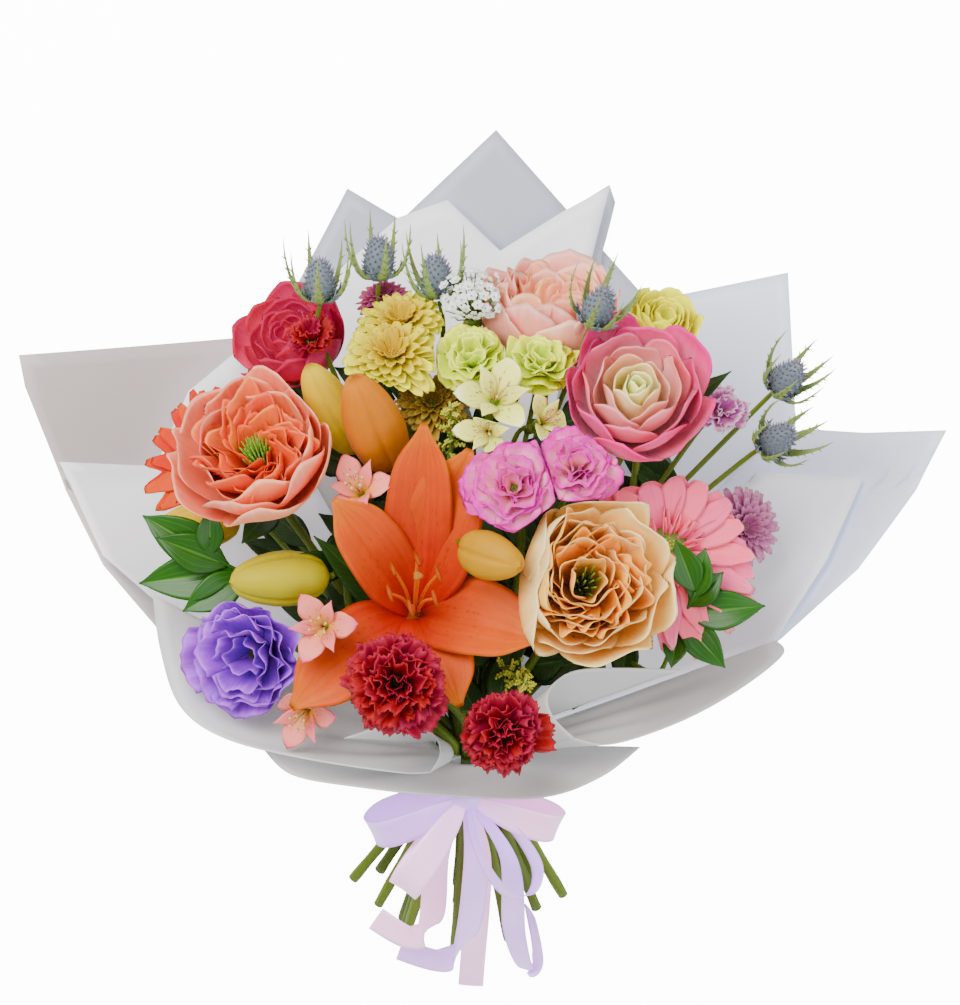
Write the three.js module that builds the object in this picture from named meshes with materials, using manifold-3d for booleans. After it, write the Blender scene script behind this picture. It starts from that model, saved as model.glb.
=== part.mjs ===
// A mixed rose bouquet in frosted paper, tied with ribbon and lying on its back.
// Millimetres, +Z up. The origin is on the table under the middle of the bouquet's outline.
// +X runs across the bouquet and +Y from the cut stems to the flowers.
import * as THREE from "three";
import Module from "manifold-3d";

const wasm = await Module();
wasm.setup();
const { Manifold, Mesh: SolidMesh } = wasm;

// Driving dimensions.
const HALF_WIDTH = 234; // outline of the paper, across
const HALF_LENGTH = 219; // from the tip of the paper to the ribbon ends, halved
const GAP = 0.35; // clearance between neighbouring pieces
const PETAL = 1.4; // thickness of a petal at its middle
const PAPER = 0.8; // thickness of a sheet of paper
const RIBBON = 0.8; // thickness of the ribbon
const RIBBON_WIDTH = 16;
const DEG = Math.PI / 180;

// The tie: where ribbon and paper hold the stems. The stems slope down to the table from here.
const TIE = new THREE.Vector3(-8, -98, 84);
const STEM_SLOPE = 35 * DEG;
const AXIS = new THREE.Vector3(0, Math.cos(STEM_SLOPE), Math.sin(STEM_SLOPE));
const LIFT = new THREE.Vector3(0, -Math.sin(STEM_SLOPE), Math.cos(STEM_SLOPE));
const RIGHT = new THREE.Vector3(1, 0, 0);
const UP = new THREE.Vector3(0, 0, 1);

// ---------------------------------------------------------------- helpers

const vec = (p) => new THREE.Vector3(...p);
const mix = THREE.MathUtils.lerp;
const count = (n) => Array.from({ length: n }, (_, i) => i);

// The value at u, from 0 to 1, of numbers spread evenly along a length.
function along(values, u) {
  const x = u * (values.length - 1);
  const i = Math.min(Math.floor(x), values.length - 2);
  return mix(values[i], values[i + 1], x - i);
}

// A frame at a point whose Z axis looks along face.
function frameAt(at, face, spin = 0) {
  const z = face.clone().normalize();
  const x = new THREE.Vector3(0, 1, 0).cross(z).normalize();
  const y = z.clone().cross(x);
  const turned = new THREE.Matrix4().makeRotationZ(spin);
  return new THREE.Matrix4().makeBasis(x, y, z).multiply(turned).setPosition(at);
}

// A closed solid from points and triangles, with equal points joined.
function closedSolid({ points, faces }) {
  const seen = new Map();
  const vertices = [];
  const joined = points.map((p) => {
    const key = p.toArray().map((c) => Math.round(c * 1e4)).join();
    if (!seen.has(key)) {
      seen.set(key, vertices.length / 3);
      vertices.push(...p.toArray());
    }
    return seen.get(key);
  });
  const triangles = faces
    .map((face) => face.map((i) => joined[i]))
    .filter(([a, b, c]) => a !== b && b !== c && c !== a);
  return new Manifold(
    new SolidMesh({
      numProp: 3,
      vertProperties: new Float32Array(vertices),
      triVerts: new Uint32Array(triangles.flat()),
    }),
  );
}

const SLIVER = 0.03; // detail below this size is left out
const moved = ({ points, faces }, move) => ({ points: points.map(move), faces });
const joined = (solids) => Manifold.union(solids);

// The main body of a solid, without loose scraps, sealed hollows or slivers.
function mainBody(solid) {
  const bodies = solid.decompose();
  return bodies.reduce((a, b) => (b.volume() > a.volume() ? b : a)).simplify(SLIVER);
}

// ---------------------------------------------------------------- blades, tubes and turned forms

// The surface normal of a grid of points at row i and column j.
function gridNormal(rows, i, j) {
  const last = rows.length - 1;
  const wide = rows[0].length - 1;
  const row = Math.min(Math.max(i, 1), last - 1);
  const column = Math.min(Math.max(j, 1), wide - 1);
  const onTip = rows[i][0].distanceTo(rows[i][wide]) < 1e-6;
  const r = onTip ? row : i;
  const c = onTip ? column : j;
  const lengthwise = rows[Math.min(r + 1, last)][c].clone().sub(rows[Math.max(r - 1, 0)][c]);
  const across = rows[r][Math.min(c + 1, wide)].clone().sub(rows[r][Math.max(c - 1, 0)]);
  return lengthwise.cross(across).normalize();
}

// The two faces of a grid, split alike. The faces stand apart by a thickness for each point.
function gridFaces(rows, thicknessAt) {
  const last = rows.length - 1;
  const wide = rows[0].length - 1;
  const points = [];
  for (const side of [0.5, -0.5]) {
    rows.forEach((row, i) =>
      row.forEach((p, j) => {
        const offset = gridNormal(rows, i, j).multiplyScalar(side * thicknessAt(i, j));
        points.push(p.clone().add(offset));
      }),
    );
  }
  const top = (i, j) => i * (wide + 1) + j;
  const under = (i, j) => (last + 1) * (wide + 1) + top(i, j);
  const faces = [];
  for (let i = 0; i < last; i++) {
    for (let j = 0; j < wide; j++) {
      const quad = [[i, j], [i + 1, j], [i + 1, j + 1], [i, j + 1]];
      const rising = i < last / 2 === j < wide / 2;
      const [a, b, c, d] = rising ? quad : [quad[1], quad[2], quad[3], quad[0]];
      for (const [p, q, r] of [[a, b, c], [a, c, d]]) {
        faces.push([top(...p), top(...q), top(...r)]);
        faces.push([under(...p), under(...r), under(...q)]);
      }
    }
  }
  return { points, faces, top, under, last, wide };
}

// A petal or leaf: its two faces meet in a fine rim.
function lens(rows, thickness) {
  const last = rows.length - 1;
  const wide = rows[0].length - 1;
  const inside = (i, j) => i > 0 && j > 0 && i < last && j < wide;
  return closedSolid(gridFaces(rows, (i, j) => (inside(i, j) ? thickness : 0)));
}

// A sheet of even thickness with a wall round its rim.
function slab(rows, thickness) {
  const { points, faces, top, under, last, wide } = gridFaces(rows, () => thickness);
  const rim = [
    ...count(wide).map((j) => [0, j]),
    ...count(last).map((i) => [i, wide]),
    ...count(wide).map((j) => [last, wide - j]),
    ...count(last).map((i) => [last - i, 0]),
  ];
  rim.forEach((here, k) => {
    const next = rim[(k + 1) % rim.length];
    faces.push([top(...here), top(...next), under(...next)]);
    faces.push([top(...here), under(...next), under(...here)]);
  });
  return closedSolid({ points, faces });
}

// The space that a grid's blade or sheet keeps clear of its neighbours.
function clearance(rows, thickness) {
  const last = rows.length - 1;
  const wide = rows[0].length - 1;
  const middle = Math.floor(wide / 2);
  const beyond = (a, b) => a.clone().add(a.clone().sub(b).setLength(GAP));
  const pointed = (row) => row[0].distanceTo(row[wide]) < 1e-6;
  const outer = (row, inward) =>
    row.map((p, j) => (pointed(row) ? beyond(row[middle], inward[middle]) : beyond(p, inward[j])));
  const longer = [outer(rows[0], rows[1]), ...rows.slice(1, -1), outer(rows[last], rows[last - 1])];
  const wider = longer.map((row) => {
    if (pointed(row)) return row;
    return [beyond(row[0], row[1]), ...row.slice(1, -1), beyond(row[wide], row[wide - 1])];
  });
  return slab(wider, thickness + 2 * GAP);
}

// A round bar through points, with a radius that changes evenly from one list value to the next.
function bar(line, radii, sides, grow = 0) {
  const last = line.length - 1;
  const points = [];
  const faces = [];
  let spoke = RIGHT.clone();
  line.forEach((centre, i) => {
    const before = line[Math.max(i - 1, 0)];
    const after = line[Math.min(i + 1, last)];
    const inward = centre.clone().sub(before).normalize();
    const ahead = after.clone().sub(centre).normalize().add(inward).normalize();
    if (Math.abs(spoke.dot(ahead)) > 0.98) spoke = LIFT.clone();
    spoke.addScaledVector(ahead, -spoke.dot(ahead)).normalize();
    const across = ahead.clone().cross(spoke);
    const radius = along(radii, i / last) + grow;
    const shift = i === 0 ? -grow : i === last ? grow : 0;
    for (let k = 0; k < sides; k++) {
      const turn = (2 * Math.PI * k) / sides;
      const point = centre.clone().addScaledVector(ahead, shift);
      point.addScaledVector(spoke, radius * Math.cos(turn));
      points.push(point.addScaledVector(across, radius * Math.sin(turn)));
    }
  });
  const at = (i, k) => i * sides + (k % sides);
  for (let k = 0; k < sides; k++) {
    for (let i = 0; i < last; i++) {
      faces.push([at(i, k), at(i, k + 1), at(i + 1, k + 1)]);
      faces.push([at(i, k), at(i + 1, k + 1), at(i + 1, k)]);
    }
  }
  for (let k = 1; k < sides - 1; k++) {
    faces.push([at(0, 0), at(0, k + 1), at(0, k)]);
    faces.push([at(last, 0), at(last, k), at(last, k + 1)]);
  }
  return closedSolid({ points, faces });
}

// A three-sided spike.
function spike(root, tip, radius) {
  const frame = frameAt(root, tip.clone().sub(root));
  const corners = count(3).map((k) => {
    const turn = (2 * Math.PI * k) / 3;
    return new THREE.Vector3(radius * Math.cos(turn), radius * Math.sin(turn), 0).applyMatrix4(frame);
  });
  return closedSolid({ points: [...corners, tip], faces: [[2, 1, 0], [0, 1, 3], [1, 2, 3], [2, 0, 3]] });
}

// A form turned round +Z from [radius, height] pairs that start and end on the axis.
function turned(profile, sides, lobe = () => 1) {
  const points = [];
  const faces = [];
  profile.forEach(([radius, height]) =>
    count(sides).forEach((k) => {
      const turn = (2 * Math.PI * k) / sides;
      const reach = radius * lobe(k);
      points.push(new THREE.Vector3(reach * Math.cos(turn), reach * Math.sin(turn), height));
    }),
  );
  const at = (i, k) => i * sides + (k % sides);
  for (let i = 0; i < profile.length - 1; i++) {
    for (let k = 0; k < sides; k++) {
      faces.push([at(i, k), at(i, k + 1), at(i + 1, k + 1)]);
      faces.push([at(i, k), at(i + 1, k + 1), at(i + 1, k)]);
    }
  }
  return { points, faces };
}

// A blade that follows three points of a curved midrib, from root to tip.
function tongue({ path, up, half, widths, cup = 0, wave = 0, steps = 3, columns = 2 }) {
  const rib = new THREE.QuadraticBezierCurve3(...path);
  return count(steps + 1).map((i) => {
    const u = i / steps;
    const ahead = rib.getTangentAt(u);
    const side = up.clone().cross(ahead).normalize();
    const normal = ahead.cross(side);
    const width = half * along(widths, u);
    return count(columns + 1).map((j) => {
      const v = (2 * j) / columns - 1;
      const lift = (cup * v * v + wave * Math.sin(7 * u) * v) * width;
      return rib.getPointAt(u).addScaledVector(side, v * width).addScaledVector(normal, lift);
    });
  });
}

// A petal of a round flower that faces +Z, in units of the flower's radius.
// rise gives the slope at its root and tip, foot the radius and height of its root.
function petal(shape, steps, columns) {
  const { rise, length, foot, half, widths, turn } = shape;
  const { wrap = 1, roll = 0, frill = 0, waves = 3, lean = 0 } = shape;
  const start = rise[0] * DEG;
  const sweep = (rise[1] - rise[0]) * DEG;
  return count(steps + 1).map((i) => {
    const u = i / steps;
    const slope = start + sweep * u;
    const out = foot[0] + (length * (Math.sin(slope) - Math.sin(start))) / sweep;
    const high = foot[1] + (length * (Math.cos(start) - Math.cos(slope))) / sweep;
    return count(columns + 1).map((j) => {
      const v = ((2 * j) / columns - 1) * along(widths, u);
      const bend = wrap * (1 - Math.cos((v * half) / wrap));
      const curl = roll * u ** 3 * (0.5 + v ** 2);
      const ruffle = frill * u ** 2 * Math.sin(waves * Math.PI * v + turn) * Math.abs(v);
      const offset = bend - curl + ruffle + lean * v * u;
      const point = new THREE.Vector3(out, wrap * Math.sin((v * half) / wrap), high);
      point.x -= offset * Math.sin(slope);
      point.z += offset * Math.cos(slope);
      return point.applyAxisAngle(UP, turn);
    });
  });
}

// A ring of like petals.
function ring(number, shape, start = 0) {
  return count(number).map((k) => ({ ...shape, turn: start + (2 * Math.PI * k) / number }));
}

// ---------------------------------------------------------------- the flowers' room

// Each flower keeps to its own room. Flat walls part it from its neighbours, and their
// places follow from the flowers' sizes. A point near a wall is drawn in towards the centre.
const LINING_TOP = 18; // the flowers stay above the paper they lie on
const EASY = 0.75; // part of the room in which petals keep their shape

function wallsOf(flower, flowers, rods) {
  const walls = [{ normal: new THREE.Vector3(0, 0, -1), reach: flower.at.z - LINING_TOP }];
  for (const other of flowers) {
    if (other === flower) continue;
    const normal = other.at.clone().sub(flower.at);
    const distance = normal.length();
    const shift = flower.room ** 2 - other.room ** 2;
    const reach = (distance ** 2 + shift) / (2 * distance) - GAP / 2;
    walls.push({ normal: normal.normalize(), reach });
  }
  for (const rod of rods) {
    const nearest = new THREE.Vector3();
    new THREE.Line3(rod.from, rod.to).closestPointToPoint(flower.at, true, nearest);
    const normal = nearest.sub(flower.at);
    const reach = normal.length() - rod.radius - GAP;
    walls.push({ normal: normal.normalize(), reach });
  }
  return walls;
}

function intoRoom(point, flower) {
  const spoke = point.clone().sub(flower.at);
  const distance = spoke.length();
  if (distance < 1e-6) return point.clone();
  spoke.divideScalar(distance);
  const room = Math.min(
    ...flower.walls.map(({ normal, reach }) => {
      const toward = normal.dot(spoke);
      return toward > 1e-6 ? reach / toward : Infinity;
    }),
  );
  const part = distance / room;
  if (part <= EASY) return point.clone();
  const pressed = EASY + (1 - EASY) * Math.tanh((part - EASY) / (1 - EASY));
  return flower.at.clone().addScaledVector(spoke, pressed * room);
}

// ---------------------------------------------------------------- layout of the flowers

// Places, the way each flower faces, and its radius.
const ROSES = [
  { name: "rose_coral", at: [-112, 52, 152], face: [-0.18, 0.42, 0.89], radius: 40, color: 0xf59e87, ranks: 3 },
  { name: "rose_peach", at: [51, -11, 172], face: [0.08, 0.12, 0.99], radius: 42, color: 0xfbd0a0, ranks: 3 },
  { name: "rose_bicolor", at: [76, 81, 150], face: [0.05, 0.42, 0.9], radius: 37, color: 0xe85a8c, ranks: 3 },
  { name: "rose_blush", at: [33, 122, 110], face: [0.05, 0.9, 0.43], radius: 35, color: 0xf2aba5, ranks: 2 },
  { name: "rose_magenta", at: [-94, 109, 108], face: [-0.45, 0.55, 0.7], radius: 28, color: 0xb32652, ranks: 2 },
  { name: "rose_yellow", at: [90, 119, 118], face: [0.3, 0.6, 0.74], radius: 17, color: 0xffd90d, ranks: 1 },
];

const CARNATIONS = [
  { name: "carnation_lime_left", at: [-5, 102, 140], face: [-0.1, 0.6, 0.79], radius: 20, color: 0xc9dd55 },
  { name: "carnation_lime_right", at: [29, 100, 138], face: [0.1, 0.6, 0.79], radius: 21, color: 0xbdd64f },
  { name: "carnation_magenta_left", at: [15, 37, 175], face: [-0.1, 0.25, 0.96], radius: 24, color: 0xd63ccf },
  { name: "carnation_magenta_right", at: [47, 46, 172], face: [0.1, 0.3, 0.95], radius: 21, color: 0xdf55d3 },
  { name: "carnation_red_left", at: [-43, -61, 182], face: [-0.1, -0.1, 0.99], radius: 25, color: 0xa80f24 },
  { name: "carnation_red_right", at: [11, -87, 165], face: [0.05, -0.35, 0.94], radius: 21, color: 0xb5122b },
  { name: "carnation_crimson", at: [-86, 113, 138], face: [-0.1, 0.7, 0.7], radius: 13, color: 0xa31236, small: true },
  { name: "carnation_mauve", at: [120, 76, 128], face: [0.4, 0.4, 0.8], radius: 13, color: 0xb5639c, small: true },
];

const MUMS = [
  { name: "mum_yellow_back", at: [-40, 116, 128], face: [-0.1, 0.75, 0.65], radius: 27, color: 0xf2cf57 },
  { name: "mum_yellow_front", at: [-44, 100, 142], face: [-0.1, 0.6, 0.79], radius: 31, color: 0xf4d765 },
  { name: "mum_bronze", at: [-25, 77, 128], face: [0, 0.5, 0.87], radius: 20, color: 0x9c6b2a },
  { name: "mum_plum", at: [-49, 130, 108], face: [-0.1, 0.8, 0.6], radius: 15, color: 0x7e2148 },
  { name: "mum_mauve", at: [131, 16, 90], face: [0.5, 0.1, 0.86], radius: 22, color: 0x93366f },
];

const GERBERAS = [
  { name: "gerbera_pink", at: [91, 3, 134], face: [0.14, 0.14, 0.98], radius: 54, color: 0xf299ab, heart: 0xb9b44d },
  { name: "gerbera_orange", at: [-131, 47, 100], face: [-0.45, 0.25, 0.86], radius: 46, color: 0xfa591a },
];

const LISIANTHUS = [
  { name: "lisianthus_purple", at: [-117, -48, 128], face: [-0.4, -0.15, 0.9], radius: 30, color: 0x734dcc },
];

const ALSTROEMERIAS = [
  { name: "alstroemeria_white_top", at: [7, 82, 160], face: [0.1, 0.35, 0.93], radius: 23, color: 0xeef2d2 },
  { name: "alstroemeria_white_low", at: [2, 64, 160], face: [-0.15, 0.1, 0.98], radius: 17, color: 0xe3edbd },
  { name: "alstroemeria_white_side", at: [32, 70, 150], face: [0.5, 0.3, 0.8], radius: 15, color: 0xe7efc8 },
  { name: "alstroemeria_pink_top", at: [-62, 36, 158], face: [-0.2, 0.4, 0.9], radius: 20, color: 0xf3a9b4 },
  { name: "alstroemeria_pink_mid", at: [-80, -33, 160], face: [-0.2, 0, 0.98], radius: 20, color: 0xf1a3b4 },
  { name: "alstroemeria_pink_low", at: [-90, -78, 135], face: [-0.3, -0.4, 0.87], radius: 19, color: 0xeb9fb8 },
];

const GYPSOPHILA = [
  { name: "gypsophila", at: [-5, 127, 128], face: [0, 0.6, 0.8], radius: 20, color: 0xf4f5ee },
];

// Lily buds lie from base to tip.
const BUDS = [
  { name: "bud_yellow", tip: [-87, 97, 155], base: [-62, 54, 118], radius: 13, color: 0xf5d21e },
  { name: "bud_orange", tip: [-64, 91, 174], base: [-45, 46, 128], radius: 16, color: 0xf59a1c },
  { name: "bud_amber", tip: [19, -3, 190], base: [-10, 7, 165], radius: 13, color: 0xf2aa1f },
  { name: "bud_lime", tip: [-126, -11, 150], base: [-76, -8, 136], radius: 15, color: 0xd9d02c },
  { name: "bud_gold", tip: [-164, 14, 112], base: [-121, 20, 105], radius: 13, color: 0xf2c81e },
];

const LILY = {
  name: "lily_orange",
  at: [-34, -18, 150],
  face: [0, 0.3, 0.95],
  color: 0xf57f1c,
  tips: [[-29, 68, 172], [-6, 55, 168], [-74, 30, 172], [29, -40, 164], [-11, -73, 160], [-95, -74, 150]],
};

// Sea holly heads, with a ruff of spiny bracts.
const THISTLES = [
  { name: "eryngium_1", at: [-81, 130, 140], face: [0, 0.9, 0.44] },
  { name: "eryngium_2", at: [-52, 141, 118], face: [0, 0.95, 0.3] },
  { name: "eryngium_3", at: [-22, 132, 120], face: [-0.1, 0.95, 0.3] },
  { name: "eryngium_4", at: [55, 119, 148], face: [0.3, 0.7, 0.65] },
  { name: "eryngium_5", at: [148, 86, 112], face: [0.5, 0.5, 0.7] },
  { name: "eryngium_6", at: [143, 57, 120], face: [0.5, 0.3, 0.8] },
];

const RUSCUS = [
  {
    name: "ruscus_right",
    from: [98, -34, 132],
    to: [106, -16, 144],
    leaves: [[94, -54, 142], [121, -54, 140], [141, -23, 138], [120, -6, 144], [111, 6, 148], [96, 10, 152]],
  },
  {
    name: "ruscus_left",
    from: [-118, -8, 122],
    to: [-136, 2, 126],
    leaves: [[-150, -26, 124], [-172, -12, 118], [-163, 11, 128], [-170, 22, 124], [-136, 26, 130]],
  },
];

// ---------------------------------------------------------------- the flowers

const ROSE_WIDTHS = [0, 0.68, 1, 0.72];
const FAN = [0, 1, 0.75];
const POINTED = [0, 1, 0];
const STRAP = [0, 0.5, 1, 0];
const COARSE = [2, 2];

// Rings of petals for each kind of flower. Neighbours in a ring lie side by side, and the
// next ring covers the gaps. mesh gives the rows and columns of a petal.
function rosePetals({ ranks }) {
  const outer = { rise: [15, 100], length: 1.53, foot: [0.16, -0.72], half: 0.57, wrap: 0.95, roll: 0.2 };
  const middle = { rise: [34, 108], length: 1.24, foot: [0.16, -0.6], half: 0.5, wrap: 0.75 };
  const inner = { rise: [62, 102], length: 1.0, foot: [0.14, -0.5], half: 0.25, wrap: 0.36 };
  return [
    ...ring(5, { ...outer, widths: ROSE_WIDTHS, mesh: ranks > 1 ? [3, 2] : COARSE }),
    ...(ranks > 1 ? ring(4, { ...middle, widths: FAN, mesh: COARSE }, 0.63) : []),
    ...(ranks > 2 ? ring(3, { ...inner, widths: FAN, mesh: COARSE }, 0.3) : []),
  ];
}

function carnationPetals({ small }) {
  const fringe = { foot: [0.08, -0.6], wrap: 3, waves: 1.5 };
  const outer = { ...fringe, rise: [60, -10], length: 1.12, half: 0.46, widths: [0, 0.6, 1], frill: 0.3 };
  const inner = { ...fringe, rise: [82, 45], length: 1.1, half: 0.36, widths: [0, 0.7, 1], frill: 0.16 };
  return small ? ring(5, { ...outer, mesh: COARSE }) : [
    ...ring(6, { ...outer, mesh: COARSE }), ...ring(3, { ...inner, mesh: COARSE }, 0.5),
  ];
}

function mumPetals() {
  const strap = { foot: [0.15, -0.1], half: 0.16, widths: POINTED, wrap: 0.4, mesh: COARSE };
  const outer = { ...strap, rise: [14, -8], length: 0.8 };
  const inner = { ...strap, foot: [0.1, 0.05], rise: [45, 25], length: 0.62 };
  return [...ring(8, outer), ...ring(3, inner, 0.3)];
}

function gerberaPetals() {
  const strap = { foot: [0.12, -0.02], half: 0.17, widths: STRAP, wrap: 0.5, length: 0.9, mesh: [3, 2] };
  return ring(11, { ...strap, rise: [12, -6] });
}

function lisianthusPetals() {
  const frilled = { foot: [0.1, -0.52], widths: [0, 0.8, 1], wrap: 1, waves: 1.5 };
  return [
    ...ring(5, { ...frilled, rise: [35, 55], length: 1.15, half: 0.5, frill: 0.2, mesh: COARSE }),
    ...ring(3, { ...frilled, rise: [60, 75], length: 1.0, half: 0.42, mesh: COARSE }, 0.6),
  ];
}

function alstroemeriaPetals() {
  const tepal = { foot: [0.06, -0.52], wrap: 0.8, mesh: COARSE };
  return [
    ...ring(3, { ...tepal, rise: [65, 15], length: 1.2, half: 0.4, widths: [0, 1, 0.5] }),
    ...ring(3, { ...tepal, rise: [70, 35], length: 1.15, half: 0.25, widths: POINTED }, Math.PI / 3),
  ];
}

// Flower kinds: room is the share of the radius that pushes neighbours away, and heart a turned
// form in units of the radius.
const KINDS = [
  {
    flowers: ROSES, room: 1, petals: rosePetals,
    heart: [[0, -0.82], [0.42, -0.62], [0, 0.2]],
  },
  {
    flowers: CARNATIONS, room: 1, petals: carnationPetals,
    heart: [[0, -0.85], [0.32, -0.55], [0, 0.15]],
  },
  {
    flowers: MUMS, room: 0.7, petals: mumPetals,
    heart: [[0, -0.34], [0.42, 0], [0, 0.28]],
  },
  {
    flowers: GERBERAS, room: 0.42, petals: gerberaPetals,
    heart: [[0, -0.2], [0.3, 0], [0, 0.14]],
  },
  {
    flowers: LISIANTHUS, room: 1, petals: lisianthusPetals,
    heart: [[0, -0.75], [0.32, -0.5], [0, 0.1]],
  },
  {
    flowers: GYPSOPHILA, room: 0.6, cluster: true,
    heart: [[0, -0.72], [0.24, -0.5], [0, -0.28]],
  },
  {
    flowers: ALSTROEMERIAS, room: 0.8, petals: alstroemeriaPetals,
    heart: [[0, -0.75], [0.22, -0.52], [0, -0.1]],
  },
];
const HEART_SIDES = 5;

// Baby's breath: white stars on threads that spring from a small knot.
const STARS = 6;
const STAR = { radius: 0.22, thickness: 0.1, sides: 6 };

function starPoints({ radius, thickness, sides }) {
  const points = [new THREE.Vector3(0, 0, thickness), new THREE.Vector3(0, 0, -thickness)];
  for (let k = 0; k < sides; k++) {
    const turn = (2 * Math.PI * k) / sides;
    points.push(new THREE.Vector3(radius * Math.cos(turn), radius * Math.sin(turn), 0));
  }
  const faces = count(sides).flatMap((k) => {
    const a = 2 + k;
    const b = 2 + ((k + 1) % sides);
    return [[0, a, b], [1, b, a]];
  });
  return { points, faces };
}

// Directions spread evenly over a cap of a sphere round +Z.
function capDirection(k, number, opening) {
  const high = 1 - ((k + 0.5) / number) * (1 - Math.cos(opening));
  const level = Math.sqrt(1 - high * high);
  return new THREE.Vector3(level * Math.cos(2.4 * k), level * Math.sin(2.4 * k), high);
}

function starCluster(flower, place) {
  const root = new THREE.Vector3(0, 0, -0.55);
  return count(STARS).flatMap((k) => {
    const tip = capDirection(k, STARS, 80 * DEG).multiplyScalar(k % 2 ? 0.95 : 0.75);
    const toward = tip.clone().sub(root).normalize();
    const local = frameAt(tip, toward);
    const star = moved(starPoints(STAR), (p) => place(p.applyMatrix4(local)));
    const start = root.clone().addScaledVector(toward, 0.1);
    return [closedSolid(star), spike(place(start), place(tip), 1.6)];
  });
}

const rods = BUDS.map(({ tip, base, radius }) => ({ from: vec(base), to: vec(tip), radius }));

const flowers = KINDS.flatMap((kind) =>
  kind.flowers.map((flower) => ({
    ...flower,
    kind,
    at: vec(flower.at),
    face: vec(flower.face).normalize(),
    room: flower.radius * kind.room,
  })),
);
for (const flower of flowers) flower.walls = wallsOf(flower, flowers, rods);

function flowerSolid(flower) {
  const { kind, radius } = flower;
  const frame = frameAt(flower.at, flower.face, flower.name.length);
  const place = (p) => intoRoom(p.clone().multiplyScalar(radius).applyMatrix4(frame), flower);
  const heart = closedSolid(moved(turned(kind.heart, HEART_SIDES), place));
  if (kind.cluster) return joined([heart, ...starCluster(flower, place)]);
  const petals = kind.petals(flower).map((shape) => {
    const rows = petal(shape, ...shape.mesh).map((row) => row.map(place));
    return lens(rows, PETAL);
  });
  return joined([heart, ...petals]);
}

// Where a flower's heart meets its stem.
function seatOf(flower) {
  const depth = -flower.kind.heart[0][1] * flower.radius;
  return intoRoom(flower.at.clone().addScaledVector(flower.face, -depth), flower);
}

// A lily bud: three-sided, full in the middle and blunt at the tip.
const BUD_PROFILE = [[0, 0], [0.34, 0.03], [0.7, 0.25], [0.98, 0.55], [0.8, 0.8], [0.32, 0.96], [0, 1]];
const BUD_SIDES = 6;

function budSolid({ tip, base, radius }, grow = 0) {
  const along3 = vec(tip).sub(vec(base));
  const length = along3.length();
  const profile = BUD_PROFILE.map(([r, h]) => [
    r > 0 ? r * radius + grow : 0,
    h * length + (h === 0 ? -grow : 0) + (h === 1 ? grow : 0),
  ]);
  const lobe = (k) => (k % 2 ? 0.88 : 1);
  const frame = frameAt(vec(base), along3);
  return closedSolid(moved(turned(profile, BUD_SIDES, lobe), (p) => p.applyMatrix4(frame)));
}

// The lily: six broad tepals that spring from a throat, six stamens and a pistil.
const LILY_THROAT = 34; // depth of the throat under the flower's middle
const TEPAL_WIDTHS = [0, 0.8, 1, 0.9, 0];

function tepalRows(tip, k) {
  const at = vec(LILY.at);
  const face = vec(LILY.face).normalize();
  const root = at.clone().addScaledVector(face, -LILY_THROAT);
  const bend = at.clone().lerp(vec(tip), 0.3).addScaledVector(face, 4);
  const half = k % 2 ? 19 : 16;
  const path = [root, bend, vec(tip)];
  return tongue({ path, up: face, half, widths: TEPAL_WIDTHS, cup: 0.25, steps: 4 });
}

function lilySolid(grow = 0) {
  const at = vec(LILY.at);
  const face = vec(LILY.face).normalize();
  const frame = frameAt(at, face);
  const blade = grow > 0 ? clearance : lens;
  const tepals = LILY.tips.map((tip, k) => blade(tepalRows(tip, k), PETAL));
  const throat = [[0, -LILY_THROAT - 2], [5, -LILY_THROAT], [6, -LILY_THROAT + 8], [0, -LILY_THROAT + 16]];
  const heart = closedSolid(moved(turned(throat, HEART_SIDES), (p) => p.applyMatrix4(frame)));
  const threads = count(7).map((k) => {
    const centre = k === 6;
    const spread = centre ? 2 : 13;
    const turn = (Math.PI * k) / 3 + 0.4;
    const tip = new THREE.Vector3(spread * Math.cos(turn), spread * Math.sin(turn), centre ? 30 : 24);
    const middle = tip.clone().multiplyScalar(0.12).setZ(-LILY_THROAT + 8);
    return bar([middle, tip].map((p) => p.applyMatrix4(frame)), [1.1, 1.1], 3, grow);
  });
  return joined([heart, ...tepals, ...threads]);
}

// Sea holly: an egg-shaped head set with short spikes over a ruff of bracts.
const THISTLE = { radius: 8, height: 22, bracts: 5, bractLength: 26, spikes: 3 };

function thistleSolid({ at, face }, grow = 0) {
  const { radius, height, bracts, bractLength, spikes } = THISTLE;
  const frame = frameAt(vec(at), vec(face));
  const put = (p) => p.applyMatrix4(frame);
  const profile = [[0, -3], [1, 4], [0.8, 14], [0, height]];
  const egg = profile.map(([r, h]) => [r * radius + (r > 0 ? grow : 0), h + Math.sign(h - 6) * grow]);
  const head = closedSolid(moved(turned(egg, 5), put));
  const blade = grow > 0 ? clearance : lens;
  const ruff = count(bracts).map((k) => {
    const turn = (2 * Math.PI * k) / bracts;
    const reach = bractLength * (k % 2 ? 1 : 0.75);
    const out = new THREE.Vector3(Math.cos(turn), Math.sin(turn), 0);
    const path = [
      out.clone().multiplyScalar(2),
      out.clone().multiplyScalar(0.55 * reach).setZ(0),
      out.clone().multiplyScalar(0.85 * reach).setZ(0.55 * reach),
    ].map(put);
    const up = vec(face).normalize();
    return blade(tongue({ path, up, half: 3, widths: POINTED, steps: 2 }), PETAL);
  });
  const spines = count(spikes).map((k) => {
    const turn = 2.4 * k;
    const high = 5 + (12 * k) / spikes;
    const out = new THREE.Vector3(Math.cos(turn), Math.sin(turn), 0.6);
    const root = new THREE.Vector3(0, 0, high).addScaledVector(out, 0.3 * radius);
    const line = [root, root.clone().addScaledVector(out, 1.2 * radius)];
    return spike(...line.map(put), 2.2 + grow);
  });
  return joined([head, ...ruff, ...spines]);
}

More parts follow.
